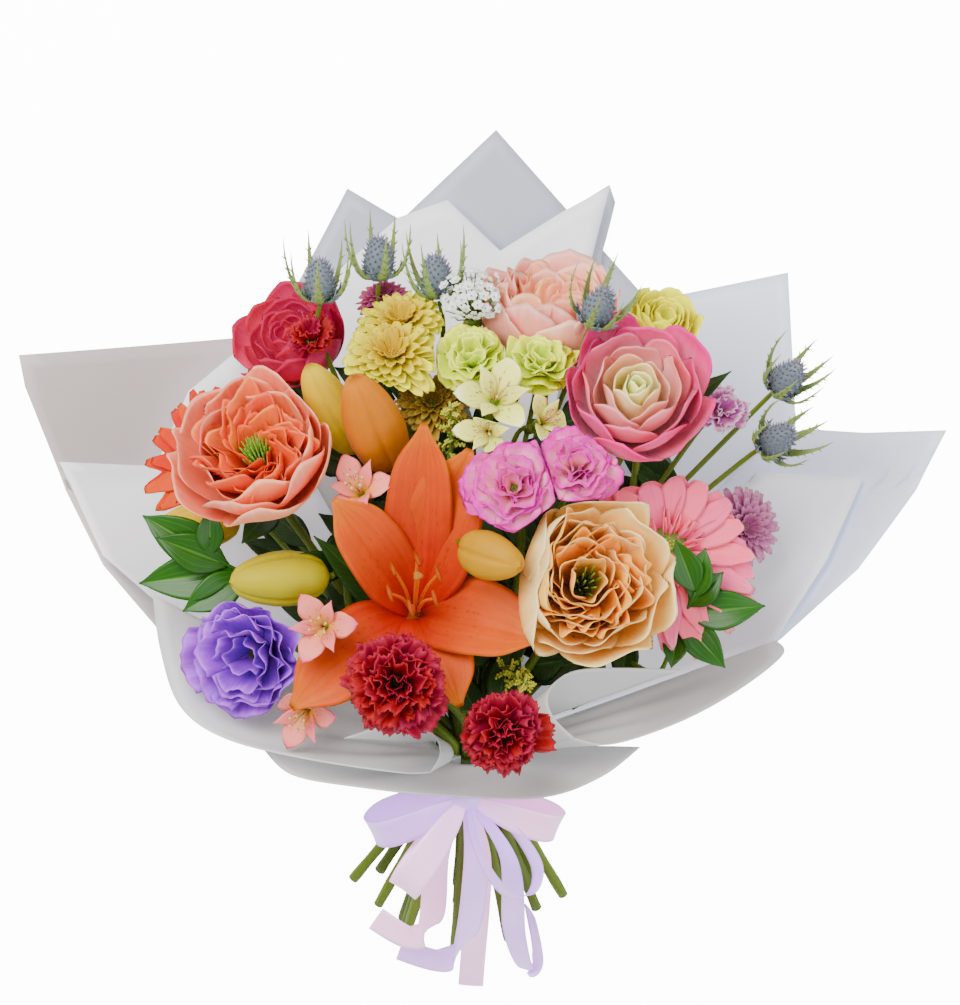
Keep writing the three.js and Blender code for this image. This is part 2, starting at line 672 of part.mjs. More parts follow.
// Glossy pointed leaves set along a wiry stalk.
const LEAF_WIDTHS = [0, 0.9, 0.95, 0];

function leafRows(root, tip, half, arch) {
  const bend = root.clone().lerp(tip, 0.5).add(new THREE.Vector3(0, 0, arch));
  return tongue({ path: [root, bend, tip], up: UP, half, widths: LEAF_WIDTHS, cup: 0.2 });
}

function sprigSolid({ from, to, leaves }, grow = 0) {
  const blade = grow > 0 ? clearance : lens;
  const start = vec(from);
  const end = vec(to);
  const root = start.clone().lerp(end, -0.4);
  const stalk = bar([root, start, end], [1.9, 1.4], 4, grow);
  const blades = leaves.map((leaf, k) => {
    const joint = start.clone().lerp(end, k / (leaves.length - 1));
    const tip = vec(leaf);
    return blade(leafRows(joint, tip, 0.2 * joint.distanceTo(tip) + 2, 5), PETAL);
  });
  return joined([stalk, ...blades]);
}

// ---------------------------------------------------------------- the paper

// Each sheet is a fan of creases from the tie to its rim. Layer 0 lies next to the flowers.
const WAIST = 17.2; // radius of layer 0 at the tie
const WAIST_PITCH = 2.3; // between layers at the tie
const SPREAD_PITCH = 4.2; // between layers where the paper lies open
const OUTER_LAYER = 4;
const TUBE_BELOW = 12; // paper below the tie
const TUBE_ABOVE = 11; // paper above the tie before it opens
const TUBE_FADE = 12; // distance over which the layers go from round to flat

function waistPoint(angle, layer, height, inset = 0) {
  const radius = WAIST + WAIST_PITCH * layer - inset;
  return TIE.clone()
    .addScaledVector(AXIS, height)
    .addScaledVector(RIGHT, radius * Math.cos(angle))
    .addScaledVector(LIFT, radius * Math.sin(angle));
}

// Height of the innermost open sheet above the table: flat in the middle, its sides and back raised.
function paperHeight(x, y) {
  const sides = 0.0036 * Math.max(0, Math.abs(x) - 90) ** 2;
  const front = 0.00003 * x ** 2 * Math.max(0, 40 - y);
  const back = 0.002 * Math.max(0, y - 150) ** 2;
  return sides + front + back + PAPER / 2 + SPREAD_PITCH * OUTER_LAYER;
}

// Extra rim points, so that no two neighbours are far apart as seen from the tie.
const FAN_STEP = 18 * DEG;
const bearing = ([x, y]) => Math.atan2(x - TIE.x, y - TIE.y);

function fanRim(rim) {
  const points = [rim[0]];
  for (const next of rim.slice(1)) {
    const here = points.at(-1);
    const parts = Math.max(1, Math.ceil(Math.abs(bearing(next) - bearing(here)) / FAN_STEP));
    for (let k = 1; k <= parts; k++) {
      points.push([mix(here[0], next[0], k / parts), mix(here[1], next[1], k / parts)]);
    }
  }
  return points;
}

// Rows of an open sheet lie at these distances from the tie, then evenly up to the rim.
const NEAR_ROWS = [16, 42, 84];
const FAR_SPAN = 76; // longest row beyond them

function openSheetRows(layer, rim) {
  const nearest = NEAR_ROWS.at(-1);
  const furthest = Math.max(...rim.map(([x, y]) => Math.hypot(x - TIE.x, y - TIE.y)));
  const farRows = Math.ceil((furthest - nearest) / FAR_SPAN);
  const columns = fanRim(rim).map(([x, y]) => {
    const direction = bearing([x, y]);
    const angle = 1.5 * Math.PI + 1.35 * direction;
    const low = waistPoint(angle, layer, -TUBE_BELOW);
    const high = waistPoint(angle, layer, TUBE_ABOVE);
    const inner = waistPoint(angle, 0, TUBE_ABOVE);
    const end = Math.hypot(x - inner.x, y - inner.y);
    const fade = 50 + 30 * direction ** 2;
    const open = (distance) => {
      const px = mix(inner.x, x, distance / end);
      const py = mix(inner.y, y, distance / end);
      const near = Math.exp(-((distance / fade) ** 2));
      const tube = Math.exp(-((distance / TUBE_FADE) ** 2));
      const z = mix(paperHeight(px, py), inner.z, near) - SPREAD_PITCH * layer * (1 - tube);
      return new THREE.Vector3(px, py, z).addScaledVector(high.clone().sub(inner), tube);
    };
    const far = count(farRows).map((k) => mix(nearest, end, (k + 1) / farRows));
    return [low, high, ...NEAR_ROWS.map(open), ...far.map(open)];
  });
  return count(columns[0].length).map((i) => columns.map((column) => column[i]));
}

const OPEN_SHEETS = [
  { name: "liner_back", layer: 0, rim: [[-99, 130], [-69, 151], [-43, 174], [-18, 183], [9, 157], [41, 177], [65, 190]] },
  { name: "liner_left", layer: 1, rim: [[-166, -20], [-191, 2], [-214, 49], [-166, 47], [-150, 85], [-124, 107]] },
  { name: "liner_right", layer: 1, rim: [[129, 30], [140, 44], [193, 41], [174, 0], [146, -43]] },
  { name: "paper_back_left", layer: 1, rim: [[-110, 110], [-91, 147], [-69, 189], [19, 137]] },
  { name: "paper_back_right", layer: 2, rim: [[-1, 151], [65, 191], [68, 182], [61, 155], [59, 130]] },
  { name: "paper_back_center", layer: 3, rim: [[-96, 122], [7, HALF_LENGTH], [116, 97]] },
  {
    name: "paper_left", layer: 4,
    rim: [[-151, -50], [-191, -3], [-211, 35], [-231, 87], [-HALF_WIDTH, 103], [-124, 113], [-91, 115]],
  },
  { name: "paper_right_upper", layer: 4, rim: [[59, 125], [81, 131], [156, 146], [159, 90], [160, 62]] },
  {
    name: "paper_right", layer: 3,
    rim: [[144, 60], [165, 66], [194, 64], [HALF_WIDTH, 65], [219, 35], [189, -5], [151, -40], [139, -50]],
  },
];

// A standing sheet rises from the front of the tie. Its rim goes on into a rolled end,
// which starts part of the way up.
const STANDING_ROWS = 4;
const ROLL_FROM = 2; // row where the rolled end starts

function standingColumn(angle, layer, end, bulge, inset = 0) {
  const low = waistPoint(angle, layer, -TUBE_BELOW, inset);
  const high = waistPoint(angle, layer, TUBE_ABOVE, inset);
  const rim = vec(end);
  const outward = rim.clone().sub(TIE).setZ(0).normalize().multiplyScalar(bulge);
  const bend = high.clone().lerp(rim, 0.45).add(outward).add(new THREE.Vector3(0, 0, -bulge));
  const ray = new THREE.QuadraticBezierCurve3(high, bend, rim);
  return [low, ...count(STANDING_ROWS).map((i) => ray.getPoint(i / (STANDING_ROWS - 1)))];
}

const asRows = (columns) => count(columns[0].length).map((i) => columns.map((column) => column[i]));

function standingSheetRows({ layer, angles, rim, bulge }) {
  const columns = rim.map((end, k) => {
    const part = k / (rim.length - 1);
    return standingColumn(mix(angles[0], angles[1], part) * DEG, layer, end, bulge * part);
  });
  return asRows(columns);
}

function rolledEndRows({ layer, angles, rim, roll, bulge }) {
  const edge = standingColumn(angles[1] * DEG, layer, rim.at(-1), bulge);
  const back = Math.sign(angles[0] - angles[1]);
  const columns = roll.map((end, k) => {
    const angle = (angles[1] + back * 8 * k) * DEG;
    return standingColumn(angle, layer, end, bulge * 0.5, 2 + 2 * k);
  });
  return asRows([edge, ...columns].map((column) => column.slice(ROLL_FROM)));
}

const STANDING_SHEETS = [
  {
    name: "collar_left", layer: 0, angles: [171, 100], bulge: 5,
    rim: [[-166, -18, 88], [-162, -45, 100], [-152, -73, 112], [-130, -89, 122], [-91, -99, 132], [-43, -106, 140], [-26, -106, 142]],
    roll: [[-21, -96, 144], [-26, -86, 144], [-44, -82, 142], [-69, -89, 138]],
  },
  {
    name: "collar_right", layer: 0, angles: [9, 80], bulge: 5,
    rim: [[148, -41, 88], [151, -48, 95], [129, -65, 112], [99, -81, 124], [65, -92, 134], [46, -89, 140]],
    roll: [[35, -78, 142], [33, -66, 142], [44, -56, 142], [66, -54, 140], [99, -55, 134]],
  },
  {
    name: "collar_front", layer: 3, angles: [162, 18], bulge: 6,
    rim: [[-110, -95, 112], [-95, -108, 118], [-61, -114, 124], [-21, -118, 128], [29, -119, 126], [59, -109, 120], [79, -94, 114]],
  },
];

// ---------------------------------------------------------------- the ribbon

const BAND_RADIUS = 27.5;
const BAND_SIDES = 16;

function bandSolid(grow = 0) {
  const outer = BAND_RADIUS + RIBBON + grow;
  const inner = BAND_RADIUS - grow;
  const half = RIBBON_WIDTH / 2 + grow;
  const basis = new THREE.Matrix4().makeBasis(RIGHT, LIFT.clone().negate(), AXIS).setPosition(TIE);
  const profile = [[inner, -half], [outer, -half], [outer, half], [inner, half], [inner, -half]];
  return closedSolid(moved(turned(profile, BAND_SIDES), (p) => p.applyMatrix4(basis)));
}

// A strip of ribbon along a line. Its width lies along hints given for its two ends.
function stripRows(line, hints, widths, steps) {
  const curve = new THREE.CatmullRomCurve3(line);
  return count(steps + 1).map((i) => {
    const u = i / steps;
    const ahead = curve.getTangentAt(u);
    const hint = hints[0].clone().lerp(hints[1], u);
    const side = hint.addScaledVector(ahead, -hint.dot(ahead)).setLength(along(widths, u) / 2);
    const centre = curve.getPointAt(u);
    return [centre.clone().sub(side), centre.clone().add(side)];
  });
}

const KNOT = TIE.clone().addScaledVector(LIFT, BAND_RADIUS + RIBBON + GAP + 7);

// Bow loops: out is where the far end lies from the knot, open how wide the loop stands.
const LOOPS = [
  { out: [-45, -16, -12], side: [0, -0.5, 0.87], open: 14 },
  { out: [-30, -44, -2], side: [0, -0.2, 1], open: 10 },
  { out: [30, -46, -6], side: [0.75, 0.6, -0.3], open: 15 },
  { out: [43, -14, -7], side: [0, -0.5, 0.87], open: 9 },
];
const GATHERED = 0.3; // share of the ribbon's width where it enters the knot
const LOOP_STEPS = 6;

function loopRows({ out, side, open }) {
  const reach = vec(out);
  const across = vec(side).normalize();
  const width = reach.clone().cross(across).normalize();
  const line = count(9).map((k) => {
    const turn = (2 * Math.PI * k) / 8;
    const far = (1 - Math.cos(turn)) / 2;
    const apart = open * Math.sin(turn) * (0.35 + 0.65 * far);
    const start = KNOT.clone().addScaledVector(reach, 4 / reach.length());
    const entry = 2.2 * Math.cos(turn / 2);
    return start.addScaledVector(reach, far).addScaledVector(across, apart + entry);
  });
  const widths = [GATHERED, 1, 1, 1, GATHERED].map((share) => share * RIBBON_WIDTH);
  return stripRows(line, [width, width], widths, LOOP_STEPS);
}

// Ribbon tails: their lines start in the knot. The last point is the cut end.
const TAILS = [
  { line: [[-2, -146, 82], [-3, -178, 52], [-5, -205, 20], [-6, 0.5 - HALF_LENGTH, 3]], ends: [[1, 0, 0], [1, 0, 0]] },
  { line: [[13, -150, 96], [16, -188, 62], [22, -208, 40], [28, -202, 46], [24, -178, 66]], ends: [[1, 0, 0.3], [0.2, 0, 1]] },
  { line: [[-22, -148, 94], [-26, -182, 70], [-36, -192, 60], [-54, -182, 64]], ends: [[1, 0, 0], [0, 1, 0.4]] },
  { line: [[-4, -154, 101], [-8, -190, 68], [-20, -204, 46], [-42, -198, 46]], ends: [[1, 0, 0], [0, 1, 0.5]] },
];
const TAIL_STEPS = 5;

function tailRows({ line, ends }) {
  const widths = [GATHERED, 0.8, 0.8, 0.8].map((share) => share * RIBBON_WIDTH);
  return stripRows([KNOT, ...line.map(vec)], ends.map(vec), widths, TAIL_STEPS);
}

function bowSolid(grow = 0) {
  const strip = grow > 0 ? clearance : slab;
  const strips = [...LOOPS.map(loopRows), ...TAILS.map(tailRows)].map((rows) => strip(rows, RIBBON));
  const profile = [[0, -9 - grow], [5 + grow, -6], [7 + grow, 0], [5 + grow, 6], [0, 9 + grow]];
  const frame = frameAt(KNOT, RIGHT);
  const knot = closedSolid(moved(turned(profile, 8), (p) => p.applyMatrix4(frame)));
  return joined([knot, ...strips]);
}

// ---------------------------------------------------------------- the stems

// Stems pass the tie side by side in a honeycomb, bound by tape, and fan out to their cut feet.
const STEM_RADIUS = 2.9;
const UPPER_RADIUS = 2.3; // above the tie
const TWIG_RADIUS = 1.8;
const HONEYCOMB = 6.1;
const BINDING = { radius: 15.9, half: 6, sides: 8 };
const FOOT_DISTANCE = 108;
const FOOT_AXIS = new THREE.Vector3(-0.05, -0.8, -0.6).normalize();
const FOOT_SPREAD = 3.4;
const SIDE_CUT = 0.18; // the outer stems are cut shorter
const NECK = 20; // straight stretch of stem under a flower
const FORK = 0.6; // where the first twig leaves the main stem, from the tie to the flowers
const TWIG_STEP = 0.14; // from twig to twig, as a part of the way from the fork to the tie

function honeycomb(number) {
  const cells = [];
  for (let a = -4; a <= 4; a++) {
    for (let b = -4; b <= 4; b++) {
      cells.push([HONEYCOMB * (a + b / 2), HONEYCOMB * b * Math.sqrt(0.75)]);
    }
  }
  return cells.sort((p, q) => Math.hypot(...p) - Math.hypot(...q)).slice(0, number);
}

// The flowers that each cut stem carries.
const STEMS = [
  ["rose_coral"], ["rose_peach"], ["rose_bicolor"], ["rose_blush"], ["gerbera_pink"], ["gerbera_orange"],
  ["rose_magenta", "eryngium_1", "eryngium_2"],
  ["rose_yellow", "carnation_mauve", "eryngium_5", "eryngium_6"],
  ["lily_orange", "bud_amber", "bud_orange"],
  ["bud_lime", "bud_gold", "ruscus_left"],
  ["carnation_lime_left", "carnation_lime_right", "eryngium_4"],
  ["carnation_magenta_left", "carnation_magenta_right"],
  ["carnation_red_left", "carnation_red_right"],
  ["mum_yellow_back", "mum_yellow_front", "mum_bronze", "mum_plum"],
  ["mum_mauve", "ruscus_right"],
  ["lisianthus_purple"],
  ["alstroemeria_white_top", "alstroemeria_white_low", "alstroemeria_white_side"],
  ["alstroemeria_pink_top", "alstroemeria_pink_mid", "alstroemeria_pink_low"],
  ["gypsophila", "eryngium_3", "carnation_crimson", "bud_yellow"],
];

// Leaves that stand among the flowers, each on the stem of a flower.
const LEAVES = [
  { on: "lily_orange", tip: [-84, 12, 152], half: 9 },
  { on: "bud_lime", tip: [-96, 2, 146], half: 8 },
  { on: "rose_bicolor", tip: [124, 94, 142], half: 7 },
  { on: "rose_coral", tip: [-120, 8, 142], half: 8 },
  { on: "carnation_red_left", tip: [-58, -84, 152], half: 7 },
];

// The upper end of each flower's stem, and the way it enters the flower.
const topsByName = Object.fromEntries([
  ...flowers.map((flower) => [flower.name, { end: seatOf(flower), face: flower.face, cup: 2 + 0.16 * flower.radius }]),
  ...[...BUDS].map(({ name, tip, base }) => [name, { end: vec(base), face: vec(tip).sub(vec(base)).normalize() }]),
  ...THISTLES.map(({ name, at, face }) => [name, topOf(at, face, 2)]),
  ...RUSCUS.map(({ name, from, to }) => [name, ruscusTop(from, to)]),
  [LILY.name, topOf(LILY.at, LILY.face, LILY_THROAT + 2)],
]);

function topOf(at, face, depth) {
  const toward = vec(face).normalize();
  return { end: vec(at).addScaledVector(toward, -depth), face: toward };
}

function ruscusTop(from, to) {
  const toward = vec(to).sub(vec(from));
  return { end: vec(from).addScaledVector(toward, -0.4), face: toward.normalize() };
}

function atTie([x, z], height) {
  return TIE.clone().addScaledVector(AXIS, height).addScaledVector(RIGHT, x).addScaledVector(LIFT, z);
}

// Slots in the tie, handed out so that stems cross as little as they can.
function slotsFor(targets) {
  const slots = honeycomb(targets.length);
  const offsets = targets.map((target) => target.clone().sub(TIE));
  const match = (k, slot) => offsets[k].dot(RIGHT) * slot[0] + offsets[k].dot(LIFT) * slot[1];
  for (let pass = 0; pass < targets.length; pass++) {
    for (let a = 0; a < targets.length; a++) {
      for (let b = a + 1; b < targets.length; b++) {
        const kept = match(a, slots[a]) + match(b, slots[b]);
        const swapped = match(a, slots[b]) + match(b, slots[a]);
        if (swapped > kept) [slots[a], slots[b]] = [slots[b], slots[a]];
      }
    }
  }
  return slots;
}

const underFlower = ({ end, face }) => end.clone().addScaledVector(face, -NECK);

// The cut end of a stem. The lowest ones reach the table.
function footOf([x, z], k) {
  const start = atTie([x, z], 0);
  const toTable = (start.z - 0.8 * STEM_RADIUS) / -FOOT_AXIS.z;
  const reach = Math.min(FOOT_DISTANCE + 15 * Math.sin(2.3 * k) - SIDE_CUT * x * x, toTable);
  return start.addScaledVector(FOOT_AXIS, reach).addScaledVector(RIGHT, x * FOOT_SPREAD);
}

const stemTops = STEMS.map((names) => names.map((name) => topsByName[name]));
const stemMiddles = stemTops.map((tops) =>
  tops.reduce((sum, top) => sum.add(underFlower(top)), new THREE.Vector3()).divideScalar(tops.length),
);
const stemSlots = slotsFor(stemMiddles);

// One cut stem from its foot to its first flower, with a twig to each of the others.
function stemBars(tops, k, grow) {
  const slot = stemSlots[k];
  const high = atTie(slot, 14);
  const fork = high.clone().lerp(stemMiddles[k], FORK);
  const radii = [UPPER_RADIUS, STEM_RADIUS, STEM_RADIUS, STEM_RADIUS];
  const main = topBar(tops[0], [fork, high, atTie(slot, -12), footOf(slot, k)], radii, 4, grow);
  const twigs = tops.slice(1).map((top, i) => {
    const joint = fork.clone().lerp(high, TWIG_STEP * i);
    return topBar(top, [joint], [TWIG_RADIUS], 3, grow);
  });
  return [main, ...twigs];
}

// The upper end of a stem, which widens into the green cup under the flower.
const CUP_DEPTH = 9;

function topBar(top, lower, radii, sides, grow) {
  const { end, face, cup = radii[0] } = top;
  const neck = underFlower(top);
  if (!top.cup) return bar([end, neck, ...lower], [cup, cup, ...radii], sides, grow);
  const line = [end, end.clone().addScaledVector(face, -CUP_DEPTH), neck, ...lower];
  return bar(line, [cup, radii[0], radii[0], ...radii], sides, grow);
}

function bindingSolid(grow) {
  const { radius, half, sides } = BINDING;
  const basis = new THREE.Matrix4().makeBasis(RIGHT, LIFT.clone().negate(), AXIS).setPosition(TIE);
  const [reach, end] = [radius + grow, half + grow];
  const profile = [[0, -end], [reach, -end], [reach, end], [0, end]];
  return closedSolid(moved(turned(profile, sides), (p) => p.applyMatrix4(basis)));
}

function stemsSolid(grow = 0) {
  const blade = grow > 0 ? clearance : lens;
  const leaves = LEAVES.map(({ on, tip, half }) =>
    blade(leafRows(underFlower(topsByName[on]), vec(tip), half, 6), PETAL),
  );
  return joined([bindingSolid(grow), ...stemTops.flatMap((tops, k) => stemBars(tops, k, grow)), ...leaves]);
}

// ---------------------------------------------------------------- fillers

// Goldenrod: arching plumes set with small spiky florets.
const SOLIDAGO = [
  { name: "solidago_center", line: [[-18, 40, 120], [-14, 62, 138], [-16, 76, 152]], spikes: 9 },
  { name: "solidago_front", line: [[4, -50, 108], [16, -58, 124], [22, -62, 138]], spikes: 7 },
];

function plumeSolid({ line, spikes }) {
  const curve = new THREE.QuadraticBezierCurve3(...line.map(vec));
  const rib = bar(curve.getPoints(3), [2.4, 0.8], 4);
  const florets = count(spikes).map((k) => {
    const u = 0.25 + (0.75 * k) / spikes;
    const root = curve.getPointAt(u);
    const frame = frameAt(root, curve.getTangentAt(u));
    const reach = mix(13, 5, u);
    const out = new THREE.Vector3(reach * Math.cos(2.4 * k), reach * Math.sin(2.4 * k), 6);
    return spike(root, out.applyMatrix4(frame), 1.4);
  });
  return joined([rib, ...florets]);
}

// ---------------------------------------------------------------- assembly

// Pieces in order: each one is cut clear of all those before it.
const paper = [
  ...OPEN_SHEETS.map(({ name, layer, rim }) => ({ name, grids: [openSheetRows(layer, rim)] })),
  ...STANDING_SHEETS.map((sheet) => ({
    name: sheet.name,
    grids: [standingSheetRows(sheet), ...(sheet.roll ? [rolledEndRows(sheet)] : [])],
  })),
];

const pieces = [
  ...paper.map(({ name, grids }) => ({
    name,
    color: 0xd9dce6,
    roughness: 0.55,
    solid: joined(grids.map((rows) => slab(rows, PAPER))),
    keepOut: () => joined(grids.map((rows) => clearance(rows, PAPER))),
  })),
  { name: "ribbon_band", color: 0xd9c4f0, roughness: 0.35, solid: bandSolid(), keepOut: () => bandSolid(GAP) },
  { name: "stems", color: 0x6f8f2f, roughness: 0.6, solid: stemsSolid(), keepOut: () => stemsSolid(GAP) },
  { name: "ribbon_bow", color: 0xe4cdf2, roughness: 0.35, solid: bowSolid(), keepOut: () => bowSolid(GAP) },
  { name: LILY.name, color: LILY.color, roughness: 0.5, solid: lilySolid(), keepOut: () => lilySolid(GAP) },
  ...BUDS.map((bud) => ({
    name: bud.name, color: bud.color, roughness: 0.45, solid: budSolid(bud), keepOut: () => budSolid(bud, GAP),
  })),
  ...THISTLES.map((head) => ({
    name: head.name, color: 0x6f8798, roughness: 0.7, solid: thistleSolid(head), keepOut: () => thistleSolid(head, GAP),
  })),
  ...RUSCUS.map((sprig) => ({
    name: sprig.name, color: 0x2f6b2a, roughness: 0.35, solid: sprigSolid(sprig), keepOut: () => sprigSolid(sprig, GAP),
  })),
  ...flowers.map((flower) => ({
    name: flower.name, color: flower.color, roughness: 0.6, solid: flowerSolid(flower),
  })),
  ...SOLIDAGO.map((plume) => ({
    name: plume.name, color: 0xa7b23a, roughness: 0.8, solid: plumeSolid(plume),
  })),
];

const apart = (a, b) => [0, 1, 2].some((c) => a.max[c] < b.min[c] || b.max[c] < a.min[c]);

function clearOf(pieceList) {
  const finished = [];
  for (const piece of pieceList) {
    let solid = piece.solid;
    for (const before of finished) {
      if (!before.keepOut || apart(solid.boundingBox(), before.bounds)) continue;
      before.guard ??= before.keepOut();
      solid = solid.subtract(before.guard);
    }
    finished.push({ ...piece, solid: mainBody(solid), bounds: solid.boundingBox() });
  }
  return finished;
}

function meshOf({ name, color, roughness, solid }) {
  const { numProp, vertProperties, triVerts } = solid.getMesh();
  const corners = new Float32Array(triVerts.length * 3);
  triVerts.forEach((vertex, i) => corners.set(vertProperties.subarray(vertex * numProp, vertex * numProp + 3), i * 3));
  const geometry = new THREE.BufferGeometry();
  geometry.setAttribute("position", new THREE.BufferAttribute(corners, 3));
  geometry.computeVertexNormals();
  const material = new THREE.MeshStandardMaterial({ color, roughness, flatShading: true });
  const mesh = new THREE.Mesh(geometry, material);
  mesh.name = name;
  return mesh;
}

const bouquet = new THREE.Group();
bouquet.name = "rose_bouquet";
bouquet.add(...clearOf(pieces).map(meshOf));

export default bouquet;
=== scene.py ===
"""A mixed rose bouquet in frosted paper, tied with satin ribbon and lying on its back.

The forms are worked out in millimetres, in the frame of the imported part, and scaled to metres
when a mesh is made. Petals are thin closed blades with a UV map called petal, across and
along each blade, and a colour attribute called tone: chance, place from rim to heart, and side.
"""
import math

import bpy
import numpy as np
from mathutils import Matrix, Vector


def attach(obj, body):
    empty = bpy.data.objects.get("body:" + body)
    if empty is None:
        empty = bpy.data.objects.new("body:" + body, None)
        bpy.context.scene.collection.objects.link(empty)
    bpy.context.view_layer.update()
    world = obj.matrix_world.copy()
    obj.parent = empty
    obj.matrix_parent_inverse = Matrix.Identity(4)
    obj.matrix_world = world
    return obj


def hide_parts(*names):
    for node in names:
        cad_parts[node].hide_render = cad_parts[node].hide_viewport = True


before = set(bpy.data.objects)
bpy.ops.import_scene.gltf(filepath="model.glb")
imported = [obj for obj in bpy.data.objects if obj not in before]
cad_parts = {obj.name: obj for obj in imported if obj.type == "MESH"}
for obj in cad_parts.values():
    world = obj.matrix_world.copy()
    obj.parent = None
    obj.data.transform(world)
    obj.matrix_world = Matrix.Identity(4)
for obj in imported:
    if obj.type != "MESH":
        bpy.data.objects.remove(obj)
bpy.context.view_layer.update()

bl_info = {
    "name": "Mixed rose bouquet",
    "version": (1, 0, 0),
    "blender": (4, 5, 0),
    "location": "View3D > Sidebar > Bouquet",
    "description": "Dresses the packed bouquet with fine petals, leaves, paper and ribbon",
    "category": "Object",
}

MM = 0.001
BODY = "root"
TURN = 2 * math.pi
SPIRAL = 2.4  # turn from each thread, star, twig or leaf to the next
FLORET_SPIRAL = 2.39996  # turn from each tiny floret to the next
ANY_TURN = 6.28  # upper end of a turn drawn by chance

# The tie: where ribbon and paper hold the stems.
TIE = np.array([-8.0, -98.0, 84.0])
STEM_SLOPE = math.radians(35)
AXIS = np.array([0.0, math.cos(STEM_SLOPE), math.sin(STEM_SLOPE)])
LIFT = np.array([0.0, -math.sin(STEM_SLOPE), math.cos(STEM_SLOPE)])
RIGHT = np.array([1.0, 0.0, 0.0])
UP = np.array([0.0, 0.0, 1.0])
GAP = 0.35  # left between neighbouring blooms
TINY = 1e-9  # keeps a division away from zero


# -------------------- vectors and curves

def vec(values):
    return np.array(values, dtype=float)


def unit(vector):
    return vector / np.linalg.norm(vector)


def mix(a, b, share):
    return a + (b - a) * share


def basis_at(face, spin=0.0):
    """Columns of a turned frame whose Z axis looks along face."""
    z = unit(face)
    x = unit(np.cross([0.0, 1.0, 0.0], z))
    y = np.cross(z, x)
    turn = np.array([
        [math.cos(spin), -math.sin(spin), 0],
        [math.sin(spin), math.cos(spin), 0],
        [0, 0, 1],
    ])
    return np.column_stack([x, y, z]) @ turn


def smooth_values(values, share):
    """Values spread evenly along 0 to 1, joined by a soft curve."""
    values = vec(values)
    count = len(values) - 1
    place = np.clip(np.asarray(share, dtype=float), 0, 1) * count
    i = np.clip(place.astype(int), 0, count - 1)
    t = place - i
    before = values[np.clip(i - 1, 0, count)]
    here = values[i]
    after = values[i + 1]
    beyond = values[np.clip(i + 2, 0, count)]
    return 0.5 * (
        2 * here + (after - before) * t
        + (2 * before - 5 * here + 4 * after - beyond) * t ** 2
        + (3 * here - before - 3 * after + beyond) * t ** 3
    )


def curve_points(line, number):
    """A soft curve through points, at evenly spread places."""
    line = vec(line)
    share = np.linspace(0, 1, number)
    return np.column_stack([smooth_values(line[:, k], share) for k in range(3)])


def bezier(a, b, c, share):
    share = np.asarray(share)[..., None]
    return (1 - share) ** 2 * a + 2 * share * (1 - share) * b + share ** 2 * c


def tangents(line):
    ahead = np.gradient(line, axis=0)
    return ahead / np.maximum(np.linalg.norm(ahead, axis=1, keepdims=True), TINY)


def chance_of(name):
    """Repeatable chance for a piece."""
    return np.random.RandomState(sum(ord(c) * (i + 3) for i, c in enumerate(name)) % 100000)


def square(line):
    """Each row of a list of directions, brought to length 1."""
    return line / np.linalg.norm(line, axis=1, keepdims=True)


# -------------------- meshes

PLAIN = (0.5, 0.0)  # tone of a part with middling chance, at the bloom's rim
CAP_STEP = 0.01  # from the last ring of a tube to the ring of its rounded end
CAP_SHARE = 0.05  # of a tube's radius that its end ring keeps
ASKEW = [0.31, 0.52, 0.8]  # a direction that no stem or thread follows
CORNERS = 4  # of every face


